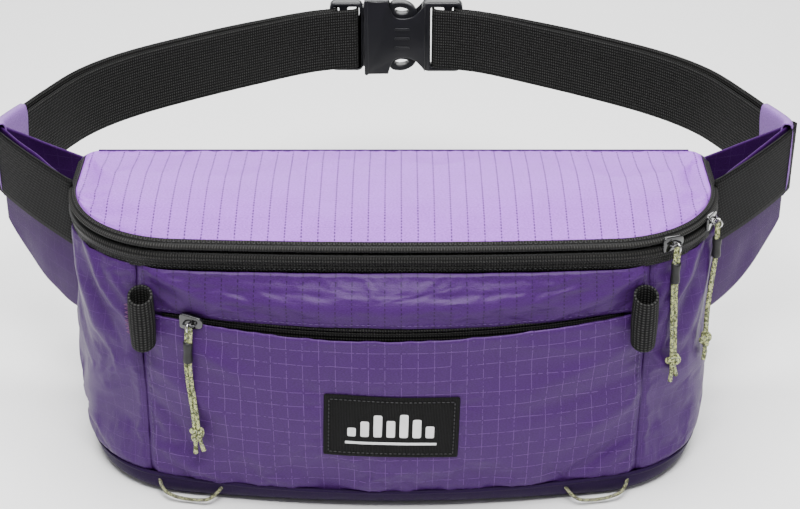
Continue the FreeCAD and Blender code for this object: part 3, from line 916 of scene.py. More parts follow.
def lid_edges(x, inset):
    """Front and back edge of the lid at a place across."""
    shape = outline_at(RIM_SHAPE_Z)
    x = abs(x)
    round_corner = shape.corner - inset
    if x <= shape.cx + round_corner * math.sin(shape.tangent):
        front = shape.front + shape.radius - math.sqrt((shape.radius - inset) ** 2 - x ** 2)
    else:
        front = shape.cy - math.sqrt(max(round_corner ** 2 - (x - shape.cx) ** 2, 0))
    back = BACK - inset
    small = BACK_CORNER - inset
    over = x - (shape.half - BACK_CORNER)
    if over > 0:
        back = BACK - BACK_CORNER + math.sqrt(max(small ** 2 - over ** 2, 0))
    return front, back


def lid_grid(name, inset, counts, height, material):
    half = outline_at(RIM_SHAPE_Z).half - inset

    def place(u, v):
        x = half * math.sin(math.pi * (u - 0.5))
        front, back = lid_edges(x, inset)
        y = between(front, back, 0.5 - 0.5 * math.cos(math.pi * v))
        inward = min(half - abs(x), y - front, back - y, key=abs)
        return Vector((x, y, height(x, y, max(inward, 0))))

    def flat(u, v):
        point = place(u, v)
        return point.x, point.y
    piece = grid_piece(name, counts, place, flat, material)
    facing(piece, Vector((0, 0, 1)))
    return piece


def make_lid():
    def dome(x, y, inward):
        level = LID_EDGE + 0.0050 * (1 - math.exp(-inward / 0.010))
        level += ripple(x, y, 0.05, 0.0006, 5.0) * min(1, inward / 0.02)
        crease = fold_relief([((-0.150, FRONT + 0.030), (-0.085, FRONT + 0.012), 0.006, -0.0012),
                              ((-0.150, FRONT + 0.044), (-0.100, FRONT + 0.026), 0.007, 0.0009)], x, y)
        return level + crease * min(1, inward / 0.01)

    def held(co):
        front, back = lid_edges(co.x, 0.0030)
        return co.y < front + 0.0015 or co.y > back - 0.0015 or abs(co.x) > 0.1585

    piece = lid_grid("lid_cloth", 0.0030, (170, 60), dome, FINISH["lid"])
    run_cloth(piece, held, 1.5, 0.004, 0.0030, 0.0030)
    add_solidify(piece, CLOTH)
    settle(piece, "lid", ("lid_panel",))
    inner_layers = (("lid_stiffener", "lid_pad", "foam"), ("lid_lining_cloth", "lid_lining", "lining"))
    for name, node, finish in inner_layers:
        flat_lid(name, node, FINISH[finish])


def flat_lid(name, node, material):
    low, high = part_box(node)
    inset = 0.1625 - high[0]

    def level(x, y, inward):
        return high[2] + ripple(x, y, 0.03, 0.0002, 9.0) * min(1, inward / 0.01)
    piece = lid_grid(name, inset, (90, 30), level, material)
    add_solidify(piece, high[2] - low[2])
    settle(piece, "lid", (node,))


# ---- zips ----

def zip_limit(shape):
    return shape.arc + shape.bend + (ZIP_END - shape.cy)


def zip_band(name, z_edge, z_far, lean, body, node):
    """Half of the main zip's tape; z_edge is at the closing line and z_far at the seam."""
    shape = outline_at(RIM_SHAPE_Z)
    limit = zip_limit(shape)
    up = z_far > z_edge

    def place(u, v):
        t = v if up else 1 - v
        point, out = shape.at(between(-limit, limit, u))
        z = between(z_edge, z_far, t)
        swell = 0.0011 * math.exp(-((t - 0.36) / 0.20) ** 2)
        roll = -0.0012 * math.exp(-(t / 0.07) ** 2)
        return point + out * (0.0001 + swell + roll - lean * t ** 2) + Vector((0, 0, z))

    piece = grid_piece(name, (420, 16), place, lambda u, v: (u * 2 * limit, v * abs(z_far - z_edge)),
                       FINISH["tape"])
    add_solidify(piece, 0.0007)
    settle(piece, body, (node,))


def coil_rope(name, z, inset, body, node, limit_of, shape):
    """Nylon coil sewn behind the tape, its turns modelled as swellings."""
    limit = limit_of(shape)
    count = int(2 * limit / 0.0004)
    points = []
    for step in range(count + 1):
        point, out = shape.at(between(-limit, limit, step / count))
        points.append(point - out * inset + Vector((0, 0, z)))
    pitch = 4

    def size(index):
        return 0.00062 + 0.00022 * math.cos(2 * math.pi * index / pitch)
    piece = tube(name, points, size, 6, FINISH["coil"], by_index=True)
    settle(piece, body, (node,))


def make_main_zip():
    zip_band("lid_tape", RIM + 0.0004, LID_EDGE + 0.0012, 0.0026, "lid", "lid_zip_tape")
    zip_band("rim_tape", RIM - 0.0004, PANEL_TOP - 0.0006, 0.0, "root", "rim_zip_tape")
    shape = outline_at(RIM_SHAPE_Z)
    coil_rope("lid_coil", RIM + 0.0014, 0.0026, "lid", "lid_zip_coil", zip_limit, shape)
    coil_rope("rim_coil", RIM - 0.0014, 0.0026, "root", "rim_zip_coil", zip_limit, shape)


def make_pocket_zip():
    shape = outline_at(SLIT)
    limit = 0.116

    for half, sign in (("upper", 1), ("lower", -1)):
        def place(u, v, sign=sign):
            point, out = shape.at(between(-limit, limit, u))
            t = v if sign > 0 else 1 - v
            z = SLIT + sign * between(0.0004, 0.0080, t)
            return point - out * (0.0026 + 0.004 * t * (sign > 0)) + Vector((0, 0, z))

        piece = grid_piece("pocket_tape_" + half, (180, 6), place, lambda u, v: (u * 0.232, v * 0.008),
                           FINISH["tape"])
        add_solidify(piece, 0.0006)
        settle(piece, "root", ("pocket_zip_tape_" + half,))
        coil_rope("pocket_coil_" + half, SLIT + sign * 0.0013, 0.0042, "root", "pocket_zip_coil_" + half,
                  lambda found: 0.114, shape)


# ---- tubes, cords and knots ----

def tube(name, points, radius, sides, material, ends=True, by_index=False):
    """Round tube along close points; radius is a function of the share along, or of the index."""
    points = [Vector(point) for point in points]
    count = len(points) - 1
    lengths = [0.0]
    for a, b in zip(points, points[1:]):
        lengths.append(lengths[-1] + (b - a).length)
    frames = []
    side = None
    for index, point in enumerate(points):
        heading = (points[min(index + 1, count)] - points[max(index - 1, 0)]).normalized()
        if side is None:
            side = heading.orthogonal().normalized()
        side = (side - heading * side.dot(heading)).normalized()
        frames.append((side, heading.cross(side)))

    def place(u, v):
        index = round(u * count)
        size = radius(index) if by_index else radius(u)
        a, b = frames[index]
        angle = -2 * math.pi * v
        return points[index] + (a * math.cos(angle) + b * math.sin(angle)) * size

    def flat(u, v):
        index = round(u * count)
        size = radius(index) if by_index else radius(u)
        return lengths[index], v * 2 * math.pi * size

    piece = grid_piece(name, (count, sides), place, flat, material, closed=True)
    if ends:
        bm = bmesh.new()
        bm.from_mesh(piece.data)
        rims = [e for e in bm.edges if e.is_boundary]
        bmesh.ops.holes_fill(bm, edges=rims, sides=0)
        bmesh.ops.recalc_face_normals(bm, faces=bm.faces)
        bm.to_mesh(piece.data)
        bm.free()
    return piece


def spline_points(name, route):
    """Points read from the smooth line through a route's control points."""
    curve = bpy.data.curves.new(name + "_line", "CURVE")
    curve.dimensions = "3D"
    curve.resolution_u = 16
    spline = curve.splines.new("NURBS")
    spline.points.add(len(route) - 1)
    for point, where in zip(spline.points, route):
        point.co = (*where, 1)
    spline.order_u = 3
    spline.use_endpoint_u = True
    holder = bpy.data.objects.new(name + "_line", curve)
    bpy.context.collection.objects.link(holder)
    mesh = bpy.data.meshes.new_from_object(holder)
    found = [Vector(vert.co) for vert in mesh.vertices]
    bpy.data.objects.remove(holder)
    bpy.data.meshes.remove(mesh)
    bpy.data.curves.remove(curve)
    return found


def slider_place(name):
    """Matrix from a slider's own axes to the pack: x along the zip, -y outwards, z up."""
    if name == "pocket":
        radius = POCKET_RADIUS - 0.0018
        angle = math.asin(POCKET_PULL_X / radius)
        centre = Vector((0, FRONT - 0.016 + POCKET_RADIUS, SLIT))
        bar = POCKET_BAR
    else:
        shape = outline_at(RIM_SHAPE_Z)
        radius = CORNER - 0.0004
        angle = math.radians(PULL_ANGLES[name])
        centre = Vector((shape.cx, shape.cy, RIM))
        bar = PULL_BAR
    out = Vector((math.sin(angle), -math.cos(angle), 0))
    return Matrix.Translation(centre + out * radius) @ Matrix.Rotation(angle, 4, "Z"), bar


def cord_lay(name):
    matrix, bar = slider_place(name)
    route = [matrix @ Vector((x, y - bar, z)) for x, y, z in PULL_ROUTES[name]]
    return spline_points("pull_" + name, route), matrix


def make_pull(name):
    """Doubled cord through its ring, with a sleeve and an overhand knot."""
    body = name + "_pull"
    centre, matrix = cord_lay(name)
    along = (matrix.to_3x3() @ Vector((1, 0, 0))).normalized()
    side = along * (STRAND * 1.02)
    top = []
    for step in range(1, 8):
        a = math.pi * step / 8
        lift = Vector((0, 0, 0.0011 * math.sin(a)))
        top.append(centre[0] + Vector((0, 0, 0.0006)) + side * math.cos(a) * 0.9 + lift)
    up = [point + side for point in reversed(centre)]
    down = [point - side for point in centre]
    both = up + top + down
    cord = tube("pull_braid_" + name, both, lambda t: STRAND, 10, FINISH["cord"])
    settle(cord, body, ("pull_cord_" + name,))
    heading = (centre[3] - centre[0]).normalized()
    start = centre[0] + heading * 0.006
    sleeve_line = [point for point in centre if 0.006 <= (point - centre[0]).length <= 0.0178]
    if len(sleeve_line) < 3:
        sleeve_line = [start + heading * 0.0115 * step / 10 for step in range(11)]
    sleeve = tube("pull_shrink_" + name, sleeve_line,
                  lambda t: 0.00232 - 0.0003 * math.exp(-((t - 0.5) / 0.2) ** 2), 20, FINISH["sleeve"])
    settle(sleeve, body, ("pull_sleeve_" + name,))
    knot = make_knot(name, centre[-1], along)
    settle(knot, body, ("pull_knot_" + name,))
    tuple(centre[0])
    path_length(centre)
    [tuple(point) for point in centre]


def path_length(points):
    return sum((b - a).length for a, b in zip(points, points[1:]))


def make_knot(name, top, along):
    """Overhand knot with two short tails."""
    across = Vector((-along.y, along.x, 0))
    centre = top + Vector((0, 0, -0.0030))
    points = []
    count = 72
    for step in range(count + 1):
        a = 2 * math.pi * step / count
        x = (math.sin(a) + 2 * math.sin(2 * a)) * 0.00098
        z = (math.cos(a) - 2 * math.cos(2 * a)) * 0.00100
        y = -math.sin(3 * a) * 0.0013
        points.append(centre + along * x + across * y + Vector((0, 0, z)))
    knot = tube("pull_knot_braid_" + name, points, lambda t: 0.00138, 12, FINISH["cord"], ends=False)
    bm = bmesh.new()
    bm.from_mesh(knot.data)
    bmesh.ops.remove_doubles(bm, verts=bm.verts, dist=0.0002)
    bm.to_mesh(knot.data)
    bm.free()
    tails = []
    for side, length in ((-1, 0.0105), (1, 0.0088)):
        tail = []
        for step in range(13):
            t = step / 12
            tail.append(centre + along * (side * (0.0009 + 0.0012 * t ** 1.5) + 0.0010 * t)
                        + across * (0.0004 * side) + Vector((0, 0, -0.001 - length * t)))
        tails.append(tube("tail", tail, lambda t: STRAND * (1 + 0.20 * t ** 4), 10, FINISH["cord"]))
    return joined([knot] + tails, "pull_knot_braid_" + name)


def joined(parts, name):
    """One mesh from several."""
    bm = bmesh.new()
    for part in parts:
        bm.from_mesh(part.data)
    material = parts[0].data.materials[0]
    for part in parts:
        bpy.data.objects.remove(part)
    piece = link_mesh(name, bm, material)
    piece.name = name
    return piece


def make_ring(name):
    matrix, bar = slider_place(name)
    points = []
    for step in range(41):
        a = 2 * math.pi * step / 40
        points.append(matrix @ Vector((0, -bar + 0.0022 * math.cos(a), -0.00105 + 0.0022 * math.sin(a))))
    piece = tube("pull_wire_" + name, points, lambda t: 0.00045, 10, FINISH["wire"], ends=False)
    settle(piece, name + "_pull", ("pull_ring_" + name,))


def make_slider(name, node, body, skin):
    """Zip slider: crowned outer plate, arch, neck and inner plate."""
    matrix, bar = slider_place(name)
    bm = bmesh.new()
    outer = bmesh.ops.create_cube(bm, size=1.0)["verts"]
    bmesh.ops.scale(bm, vec=(0.0122, 0.0017, 0.0090), verts=outer)
    bmesh.ops.translate(bm, vec=(0, -skin - 0.00080, 0), verts=outer)
    taper = [v for v in outer if v.co.x > 0]
    bmesh.ops.scale(bm, vec=(1, 1, 0.62), verts=taper)
    corners = [e for e in bm.edges if abs(e.verts[0].co.y - e.verts[1].co.y) > 0.001]
    bmesh.ops.bevel(bm, geom=corners, offset=0.0022, segments=5, profile=0.5, affect="EDGES", material=-1)
    rims = [e for e in bm.edges if abs(e.verts[0].co.y - e.verts[1].co.y) < 1e-6]
    bmesh.ops.bevel(bm, geom=rims, offset=0.0004, segments=2, profile=0.5, affect="EDGES", material=-1)
    inner_plate = ((0.0120, 0.0013, 0.0080), 0.0049)
    neck = ((0.005, skin + 0.0042, 0.0004), (0.0042 - skin) / 2)
    for size, centre in (inner_plate, neck):
        block = bmesh.ops.create_cube(bm, size=1.0)["verts"]
        bmesh.ops.scale(bm, vec=size, verts=block)
        bmesh.ops.translate(bm, vec=(0, centre, 0), verts=block)
    bmesh.ops.transform(bm, matrix=matrix, verts=bm.verts)
    plate = link_mesh("slider_plate_" + name, bm, FINISH["metal"])
    face = -skin - 0.0016
    arch = []
    for step in range(25):
        a = math.pi * step / 24
        reach = math.copysign(abs(math.cos(a)) ** 0.5, math.cos(a))
        stand = face + 0.0003 - (bar + face + 0.0003) * math.sin(a) ** 0.5
        arch.append(matrix @ Vector((0.0031 * reach, stand, 0)))
    bridge = tube("slider_arch", arch, lambda t: 0.00052, 10, FINISH["metal"])
    piece = joined([plate, bridge], "slider_body_" + name)
    settle(piece, body, (node,))


def make_lash(name, side):
    route = [(-side * x, FRONT + y, z) for x, y, z in LASH_ROUTE]
    centre = spline_points("lash_" + name, route)
    piece = tube("lash_braid_" + name, centre, lambda t: LASH_CORD / 2, 12, FINISH["lash"])
    settle(piece, "root", ("lash_cord_" + name,))
    path_length(centre)


# ---- belt and wings ----

def smooth_line(route, steps):
    """Plan points on a smooth curve through a route, evenly spaced."""
    dense = []
    last = len(route) - 1
    for index in range(last):
        p0 = Vector(route[max(index - 1, 0)])
        p1 = Vector(route[index])
        p2 = Vector(route[index + 1])
        p3 = Vector(route[min(index + 2, last)])
        for step in range(20):
            t = step / 20
            dense.append(0.5 * (2 * p1 + (p2 - p0) * t + (2 * p0 - 5 * p1 + 4 * p2 - p3) * t ** 2
                                + (3 * p1 - p0 - 3 * p2 + p3) * t ** 3))
    dense.append(Vector(route[-1]))
    lengths = [0.0]
    for a, b in zip(dense, dense[1:]):
        lengths.append(lengths[-1] + (b - a).length)
    found = []
    index = 0
    for step in range(steps + 1):
        goal = lengths[-1] * step / steps
        while index < len(lengths) - 2 and lengths[index + 1] < goal:
            index += 1
        t = (goal - lengths[index]) / max(lengths[index + 1] - lengths[index], 1e-9)
        found.append(between(dense[index], dense[index + 1], min(t, 1.0)))
    return found, lengths[-1]


def webbing_strip(name, route, side, low, height, material, steps, wave=0.0006, seed=1.0):
    """Upright webbing along a plan route."""
    line, length = smooth_line(route, steps)

    def place(u, v):
        index = round(u * steps)
        point = line[index]
        ahead = line[min(index + 1, steps)] - line[max(index - 1, 0)]
        out = Vector((ahead.y, -ahead.x)).normalized()
        lean = wave * noise.noise(Vector((u * length / 0.05, v * 1.2, seed)))
        base = low(u) if callable(low) else low
        x = point.x + out.x * lean
        y = point.y + out.y * lean
        return Vector((side * x, y, base + height * v))

    piece = grid_piece(name, (steps, 14), place, lambda u, v: (u * length, v * height), material)
    add_solidify(piece, WEBBING * 0.85, 0.0)
    return piece


def plan(route):
    return [(x, FRONT + y) for x, y in route]


def belt_lines(side):
    """Plan routes of the belt's back layer and its front layer, each into its own buckle slot."""
    belt = plan(BELT_ROUTE)
    y = BUCKLE_Y
    if side < 0:
        back = [(0.0520, y - .0090), (0.0410, y - .0058), (0.0368, y - .0045), (0.0352, y - .002),
                (0.0350, y + .002)]
        front = [(0.0520, y - .0116), (0.0410, y - .0082), (0.0320, y - .0064), (0.0250, y - .0054),
                 (0.0226, y - .0036), (0.0222, y + .0010)]
    else:
        back = [(0.0520, y - .0090), (0.0425, y - .0062), (0.0385, y - .0050), (0.0366, y - .002),
                (0.0364, y + .002)]
        front = [(0.0520, y - .0116), (0.0425, y - .0088), (0.0340, y - .0068), (0.0262, y - .0060),
                 (0.0236, y - .0040), (0.0232, y + .0010)]
    return belt + back, [(x * 0.985, y - 0.0026) for x, y in belt] + front


def make_belt():
    for name, side in SIDES.items():
        back, front = belt_lines(side)
        strap = webbing_strip("belt_" + name, back, side, BELT_Z, WEBBING_WIDTH, FINISH["webbing"], 150)
        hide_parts("strap_" + name, "strap_end_" + name)
        tail = webbing_strip("belt_tail_" + name, front, side, lambda u: BELT_Z - 0.0016 * (1 - u ** 4),
                             WEBBING_WIDTH, FINISH["webbing"], 150, 0.0003, 5.0)
        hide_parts("strap_tail_" + name)
        for piece in (strap, tail):
            if side < 0:
                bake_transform(piece)
            else:
                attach(piece, "root")


def wing_edges(t, root_top):
    """Top and bottom of the wing's cloth from the pack's side (0) to its tip (1)."""
    top = between(root_top, 0.154, t)
    bottom = between(0.074, 0.098, t) - 0.009 * math.sin(math.pi * t) ** 0.8
    return top, bottom


def wing_layer(name, start, end, side, seed, node, flip):
    a = Vector((start[0], FRONT + start[1], 0))
    b = Vector((end[0], FRONT + end[1], 0))
    run = b - a
    out = Vector((run.y, -run.x, 0)).normalized() * (-1 if flip else 1)
    root_top = 0.138 if flip else 0.149

    def place(u, v):
        t = u
        top, bottom = wing_edges(t, root_top)
        z = between(bottom, top, v)
        round_off = 0.0012 * math.sin(math.pi * min(max(t, 0), 1)) * math.sin(math.pi * v) ** 0.7
        shift = round_off + ripple(t * run.length, z, 0.022, 0.0010, seed) * math.sin(math.pi * t)
        point = a + run * t + out * shift
        return Vector((side * point.x, point.y, z))

    def flat(u, v):
        top, bottom = wing_edges(u, root_top)
        return u * run.length, between(bottom, top, v)

    piece = grid_piece(name, (50, 60), place, flat, FINISH["wing"])
    facing(piece, Vector((side * out.x, out.y, 0)))
    add_solidify(piece, CLOTH * 0.8)
    base, tip = (top - bottom for top, bottom in (wing_edges(0, root_top), wing_edges(1, root_top)))
    max(base, tip)
    return settle(piece, "root", (node,))


def facing(piece, way):
    """Turns an open cloth's faces towards a direction."""
    total = sum((face.normal.dot(way) * face.area for face in piece.data.polygons), 0.0)
    if total < 0:
        piece.data.flip_normals()


def make_wings():
    for name, side in SIDES.items():
        wing_layer("wing_front_" + name, WING_ROOT, WING_TIP, side, 31.0 + side, "wing_outer_" + name, False)
        wing_layer("wing_rear_" + name, WING_BACK, (WING_TIP[0] - 0.001, WING_TIP[1] + 0.0005), side, 41.0 + side,
                   "wing_inner_" + name, True)
        make_wing_webbing(name, side)
        make_cuff(name, side)


def make_wing_webbing(name, side):
    route = [(0.1622, FRONT + 0.0630), (0.1680, FRONT + 0.0680), (0.1900, FRONT + 0.0921),
             (WING_TIP[0] + 0.0020, FRONT + WING_TIP[1] - 0.0017), (0.2118, FRONT + 0.1262)]
    piece = webbing_strip("wing_web_" + name, route, side, lambda u: between(0.1140, BELT_Z, u), WEBBING_WIDTH,
                          FINISH["shaded_webbing"], 60, 0.0004, 8.0)
    settle(piece, "root", ("wing_webbing_" + name,))


def make_cuff(name, side):
    """Lining cloth wrapped round the belt where it leaves the wing, open at its far end."""
    centre = [(0.2078, 0.1180), (0.2086, 0.1235), (0.2050, 0.1330), (0.2000, 0.1425)]
    line, length = smooth_line(plan(centre), 24)
    low, high = BELT_Z - 0.0022, BELT_Z + WEBBING_WIDTH + 0.0022

    def place(u, v):
        index = round(v * 24)
        ahead = line[min(index + 1, 24)] - line[max(index - 1, 0)]
        out = Vector((ahead.y, -ahead.x)).normalized()
        turn = 2 * math.pi * u
        flat_side = math.copysign(abs(math.sin(turn)) ** 0.45, math.sin(turn))
        rise = math.copysign(abs(math.cos(turn)) ** 0.80, math.cos(turn))
        z = (low + high) / 2 + rise * (high - low) / 2
        cut = 0.0050 * (0.5 - 0.5 * rise) * v
        puff = 0.0033 + 0.0006 * noise.noise(Vector((u * 6, v * 2, 3.0)))
        base = line[index] - ahead.normalized() * cut
        return Vector((side * (base.x + out.x * flat_side * puff), base.y + out.y * flat_side * puff, z))

    piece = grid_piece("wing_cuff_cloth_" + name, (64, 24), place, lambda u, v: (u * 0.086, v * length),
                       FINISH["lining"], closed=True)
    add_solidify(piece, 0.0008, 0.0)
    settle(piece, "root", ("wing_cuff_" + name,))


def make_tabs():
    """Upright webbing loops in the front seams, their front walls slipped down so each stands open."""
    for name, side in SIDES.items():
        shape = outline_at(0.112)
        reach, depth = (0.0058, 0.0042)

        def place(u, v):
            turn = 2 * math.pi * u
            base, out = shape.at(side * (shape.seam(SEAM_X) - 0.0050))
            along = Vector((-out.y, out.x, 0))
            swell = 1 + 0.10 * math.sin(math.pi * v)
            point = base + along * (reach * swell * math.cos(turn)) + out * (depth * (1.36 + math.sin(turn)))
            drop = 0.0062 * (0.5 + 0.5 * math.sin(turn))
            return point + Vector((0, 0, 0.0985 + 0.0268 * v - drop))

        piece = grid_piece("side_loop_" + name, (56, 18), place, lambda u, v: (v * 0.027, u * 0.034),
                           FINISH["webbing"], closed=True)
        add_solidify(piece, 0.0012, 0.0)
        settle(piece, "root", ("tab_" + name,))


# ---- label ----

def on_front(x, z, lift):
    """Point on the pocket's face at a place across and up."""
    shape = outline_at(z)
    point, out = shape.at(math.asin(x / shape.radius) * shape.radius)
    return point + out * (pocket_relief(x, z) + lift) + Vector((0, 0, z))


def label_point(x, z, lift):
    turned_x = x * math.cos(LABEL_TURN) - z * math.sin(LABEL_TURN)
    turned_z = x * math.sin(LABEL_TURN) + z * math.cos(LABEL_TURN)
    return on_front(LABEL_CENTRE[0] + turned_x, LABEL_CENTRE[1] + turned_z, lift)


def make_label():
    def place(u, v):
        x, z = rounded(u, v, LABEL_HALF[0], LABEL_HALF[1], 0.0012)
        edge = min(LABEL_HALF[0] - abs(x), LABEL_HALF[1] - abs(z))
        seam_dip = 0.0003 * math.exp(-((edge - LABEL_HEM) / 0.0006) ** 2)
        lift = 0.0011 - 0.0005 * math.exp(-edge / 0.0006) - seam_dip
        return label_point(x, z, lift)

    piece = grid_piece("woven_label", (120, 66), place, lambda u, v: (v * 0.036, u * 0.066), FINISH["label"])
    add_solidify(piece, 0.0008)
    settle(piece, "root", ("label",))
    border = []
    for run, fixed in (("x", -1), ("z", 1), ("x", 1), ("z", -1)):
        span = LABEL_HALF[0] - LABEL_HEM if run == "x" else LABEL_HALF[1] - LABEL_HEM
        other = LABEL_HALF[1] - LABEL_HEM if run == "x" else LABEL_HALF[0] - LABEL_HEM
        count = int(2 * span / 0.0022)
        for step in range(count):
            a = between(-span, span, (step + 0.12) / count)
            b = between(-span, span, (step + 0.86) / count)
            if run == "x":
                border.append((label_point(a, fixed * other, 0.0011), label_point(b, fixed * other, 0.0011)))
            else:
                border.append((label_point(fixed * other, a, 0.0011), label_point(fixed * other, b, 0.0011)))
    settle(stitches("label_stitches", border, 0.00028, FINISH["black_thread"]), "root")
    make_motif()


def make_motif():
    """Plain woven motif: a row of hills as bars of rising and falling height, over a thin line."""
    parts = []
    for index, height in enumerate((0.005, 0.009, 0.013, 0.010, 0.014, 0.011, 0.007)):
        left = -0.0215 + index * 0.0064

        def bar(u, v, left=left, height=height):
            x, z = rounded(u, v, 0.0021, height / 2, 0.0009)
            return label_point(x + left + 0.0021, z - 0.0055 + height / 2, 0.00125)
        parts.append(grid_piece("bar", (8, 14), bar, lambda u, v: (u * 0.004, v * 0.012), FINISH["motif"]))

    def rule(u, v):
        return label_point(between(-0.0225, 0.0225, u), between(-0.0100, -0.0086, v), 0.00125)
    parts.append(grid_piece("rule", (60, 3), rule, lambda u, v: (u * 0.045, v * 0.0014), FINISH["motif"]))
    piece = joined(parts, "label_motif")
    add_solidify(piece, 0.0003)
    settle(piece, "root")


# ---- stitches ----

def stitches(name, pairs, size, material):
    """Short thread stitches between pairs of points."""
    bm = bmesh.new()
    for a, b in pairs:
        run = b - a
        turn = run.to_track_quat("Z", "Y").to_matrix().to_4x4()
        matrix = Matrix.Translation((a + b) / 2) @ turn @ Matrix.Diagonal((size, size, run.length / 2, 1))
        bmesh.ops.create_uvsphere(bm, u_segments=6, v_segments=4, radius=1.0, matrix=matrix)
    return link_mesh(name, bm, material)


def row(place, span, pitch):
    """Stitch pairs along a line given by place(t) over its length."""
    count = max(int(span / pitch), 1)
    return [(place(step / count), place((step + 0.66) / count)) for step in range(count)]


def make_seams():
    pairs = []
    for side in (-1, 1):
        def down(t, side=side):
            z = between(BASE_TOP + 0.002, PANEL_TOP - 0.003, t)
            shape = outline_at(z)
            point, out = shape.at(side * (shape.seam(SEAM_X) - 0.0030))
            relief = pocket_relief if z < SLIT else upper_relief
            return point + out * (relief(point.x, z) + 0.0001) + Vector((0, 0, z))
        pairs += row(down, 0.120, STITCH)

    def under(t):
        x = between(-0.119, 0.119, t)
        return on_front(x, SLIT - slit_gap(x) - 0.0016, 0.0001)
    pairs += row(under, 0.24, STITCH)

    def over(t):
        x = between(-0.119, 0.119, t)
        z = SLIT + slit_gap(x) + 0.0018
        shape = outline_at(z)
        point, out = shape.at(math.asin(x / shape.radius) * shape.radius)
        return point + out * (upper_relief(x, z) + 0.0001) + Vector((0, 0, z))
    pairs += row(over, 0.24, STITCH)
    settle(stitches("shell_stitches", pairs, THREAD, FINISH["thread"]), "root")
    make_tape_stitches()
    make_bar_tack()
    make_base_seam()


def make_tape_stitches():
    shape = outline_at(RIM_SHAPE_Z)
    limit = zip_limit(shape) - 0.002
    lines = (("lid", LID_EDGE + 0.0002, 0.0017, "lid"), ("root", PANEL_TOP + 0.0011, 0.0, "rim"))
    for body, z, lean, name in lines:
        def along(t, z=z, lean=lean):
            point, out = shape.at(between(-limit, limit, t))
            return point + out * (0.0004 - lean) + Vector((0, 0, z))
        pairs = row(along, 2 * limit, ZIP_STITCH)
        sewing = stitches("zip_stitches_" + name, pairs, THREAD, FINISH["black_thread"])
        settle(sewing, body)


def make_bar_tack():
    """Zig-zag bar tack on the left gusset."""
    pairs = []
    count = 16
    for step in range(count):
        z0 = between(0.0950, 0.1130, step / count)
        z1 = between(0.0950, 0.1130, (step + 1) / count)
        ends = []
        for index, z in ((step, z0), (step + 1, z1)):
            shape = outline_at(z)
            across = 0.0035 + 0.0030 * (index % 2)
            point, out = shape.at(-(shape.seam(SEAM_X) + across))
            lift = gusset_relief(-1)(across, z, 0.15) + 0.0013
            ends.append(point + out * lift + Vector((0, 0, z)))
        pairs.append(tuple(ends))
    settle(stitches("gusset_tack", pairs, 0.00026, FINISH["tack"]), "root")


def make_base_seam():
    """Bound seam between the bottom panel and the walls."""
    shape = outline_at(BASE_TOP)
    limit = shape.whole() * 0.9999
    points = []
    for step in range(401):
        point, out = shape.at(between(-limit, limit, step / 400))
        points.append(point - out * 0.0008 + Vector((0, 0, BASE_TOP)))
    piece = tube("base_piping", points, lambda t: 0.0011, 8, FINISH["base"], ends=False)
    settle(piece, "root")


# ---- buckle ----

def cut_plate(name, outer, holes, y, thick, bevel):
    """Flat moulding from an outline and holes across and up, with rounded edges."""
    bm = bmesh.new()
    for loop in [outer] + holes:
        verts = [bm.verts.new((x, y - thick / 2, BUCKLE_Z + z)) for x, z in loop]
        for a, b in zip(verts, verts[1:] + verts[:1]):
            bm.edges.new((a, b))
    bmesh.ops.triangle_fill(bm, use_beauty=True, use_dissolve=True, edges=bm.edges[:])
    face_geom = bmesh.ops.extrude_face_region(bm, geom=bm.faces[:])["geom"]
    moved = [g for g in face_geom if isinstance(g, bmesh.types.BMVert)]
    bmesh.ops.translate(bm, vec=(0, thick, 0), verts=moved)
    bmesh.ops.recalc_face_normals(bm, faces=bm.faces)
    sharp = [e for e in bm.edges if len(e.link_faces) == 2 and e.calc_face_angle(0) > 1.0
             and abs(e.verts[0].co.y - e.verts[1].co.y) < 1e-6]
    bmesh.ops.bevel(bm, geom=sharp, offset=bevel, segments=3, profile=0.5, affect="EDGES", material=-1)
    piece = link_mesh(name, bm, FINISH["buckle"])
    for face in piece.data.polygons:
        face.use_smooth = abs(face.normal.y) < 0.98
    return piece


def rounded_loop(x0, x1, z0, z1, radius, steps=5):
    loop = []
    for cx, cz, start in ((x1 - radius, z1 - radius, 0), (x0 + radius, z1 - radius, 90),
                          (x0 + radius, z0 + radius, 180), (x1 - radius, z0 + radius, 270)):
        for step in range(steps + 1):
            a = math.radians(start + 90 * step / steps)
            loop.append((cx + radius * math.cos(a), cz + radius * math.sin(a)))
    return loop


def webbing_slot(x0, x1):
    return rounded_loop(x0, x1, -SLOT_HALF, SLOT_HALF, SLOT_CORNER)


def mirrored_loop(upper):
    """Closed outline from its upper half, listed from left to right."""
    return upper + [(x, -z) for x, z in reversed(upper)]


def smooth_half(points, steps=5):
    found, _ = smooth_line(points, steps * len(points))
    return [(p.x, p.y) for p in found]


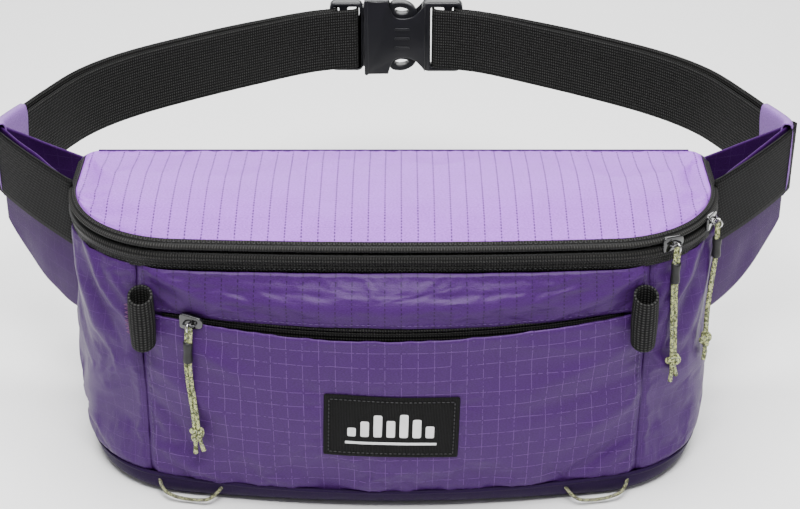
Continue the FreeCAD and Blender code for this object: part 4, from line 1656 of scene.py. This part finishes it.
def make_buckle():
    y = BUCKLE_Y
    parts = []
    for face_y in (y - 0.0047, y + 0.0047):
        neck = smooth_half([(-0.0040, 0.0236), (-0.0010, 0.0150), (0.0040, 0.0128), (0.0110, 0.0140),
                            (0.0160, 0.0185), (0.0185, 0.0222)])
        shape = mirrored_loop([(-0.0178, 0.0238)] + neck)
        parts.append(cut_plate("socket_face", shape, [], face_y, 0.0017, 0.0005))
    for z in (0.0223, -0.0223):
        block = rounded_loop(-0.0180, -0.0036, z - 0.0017, z + 0.0017, 0.0010, 3)
        parts.append(cut_plate("socket_side", block, [], y, 0.0092, 0.0004))
    end = rounded_loop(0.0165, 0.0412, -0.0226, 0.0226, 0.0042)
    slots = [webbing_slot(0.0218, 0.0300), webbing_slot(0.0348, 0.0378)]
    parts.append(cut_plate("socket_end", end, slots, y, 0.0082, 0.0010))
    lip = rounded_loop(-0.0184, -0.0160, -0.0244, 0.0244, 0.0010, 3)
    for face_y in (y - 0.0052, y + 0.0052):
        parts.append(cut_plate("socket_lip", lip, [], face_y, 0.0012, 0.0004))
    for z in (-0.006, 0.0, 0.006):
        rib = rounded_loop(0.0000, 0.0090, z - 0.0007, z + 0.0007, 0.0005, 2)
        parts.append(cut_plate("socket_rib", rib, [], y - 0.0057, 0.0006, 0.0002))
    settle(joined(parts, "buckle_socket_moulding"), "root", ("buckle_socket",))
    base = rounded_loop(-0.0392, -0.0192, -0.0222, 0.0222, 0.0036)
    slots = [webbing_slot(-0.0366, -0.0334), webbing_slot(-0.0285, -0.0212)]
    parts = [cut_plate("plug_base", base, slots, y, 0.0072, 0.0010)]
    shoulder = rounded_loop(-0.0206, -0.0164, -0.0196, 0.0196, 0.0012)
    parts.append(cut_plate("plug_shoulder", shoulder, [], y, 0.0062, 0.0006))
    tongue = rounded_loop(-0.0205, 0.0080, -0.0030, 0.0030, 0.0018)
    parts.append(cut_plate("plug_tongue", tongue, [], y, 0.0046, 0.0006))
    settle(joined(parts, "buckle_plug_moulding"), "buckle_plug", ("buckle_plug",))
    for name, sign in (("upper", 1), ("lower", -1)):
        outer = smooth_half([(-0.0196, 0.0150), (-0.0100, 0.0158), (-0.0036, 0.0180), (-0.0026, 0.0206),
                             (0.0000, 0.0222), (0.0060, 0.0222), (0.0115, 0.0190), (0.0135, 0.0150)], 3)
        inner = smooth_half([(0.0135, 0.0138), (0.0100, 0.0126), (0.0020, 0.0104), (-0.0100, 0.0092),
                             (-0.0196, 0.0090)], 3)
        loop = [(x, z * sign) for x, z in outer + inner]
        hole = smooth_half([(0.0000, 0.0180), (0.0030, 0.0192), (0.0075, 0.0180), (0.0085, 0.0158),
                            (0.0040, 0.0148), (0.0004, 0.0160)], 2)
        hole = [(x, z * sign) for x, z in hole]
        arm = cut_plate("buckle_arm_moulding_" + name, loop, [hole], y, 0.0062, 0.0007)
        settle(arm, name + "_arm", ("buckle_arm_" + name,))


# ---- build ----

lay_camera()
FINISH = make_finishes()
for pull in ("front", "side", "pocket"):
    make_pull(pull)
for lash, lash_side in SIDES.items():
    make_lash(lash, lash_side)
lay_floor()
lay_lights()
make_front()
for gusset, gusset_side in SIDES.items():
    make_gusset(gusset, gusset_side)
make_base()
make_back()
make_back_pad()
make_lid()
make_hinge()
make_main_zip()
make_pocket_zip()
for pull in ("front", "side", "pocket"):
    make_ring(pull)
make_slider("front", "lid_slider_front", "front_slider", 0.0006)
make_slider("side", "lid_slider_side", "side_slider", 0.0006)
make_slider("pocket", "pocket_slider", "pocket_slider", 0.0024)
make_belt()
make_wings()
make_tabs()
make_label()
make_seams()
make_buckle()
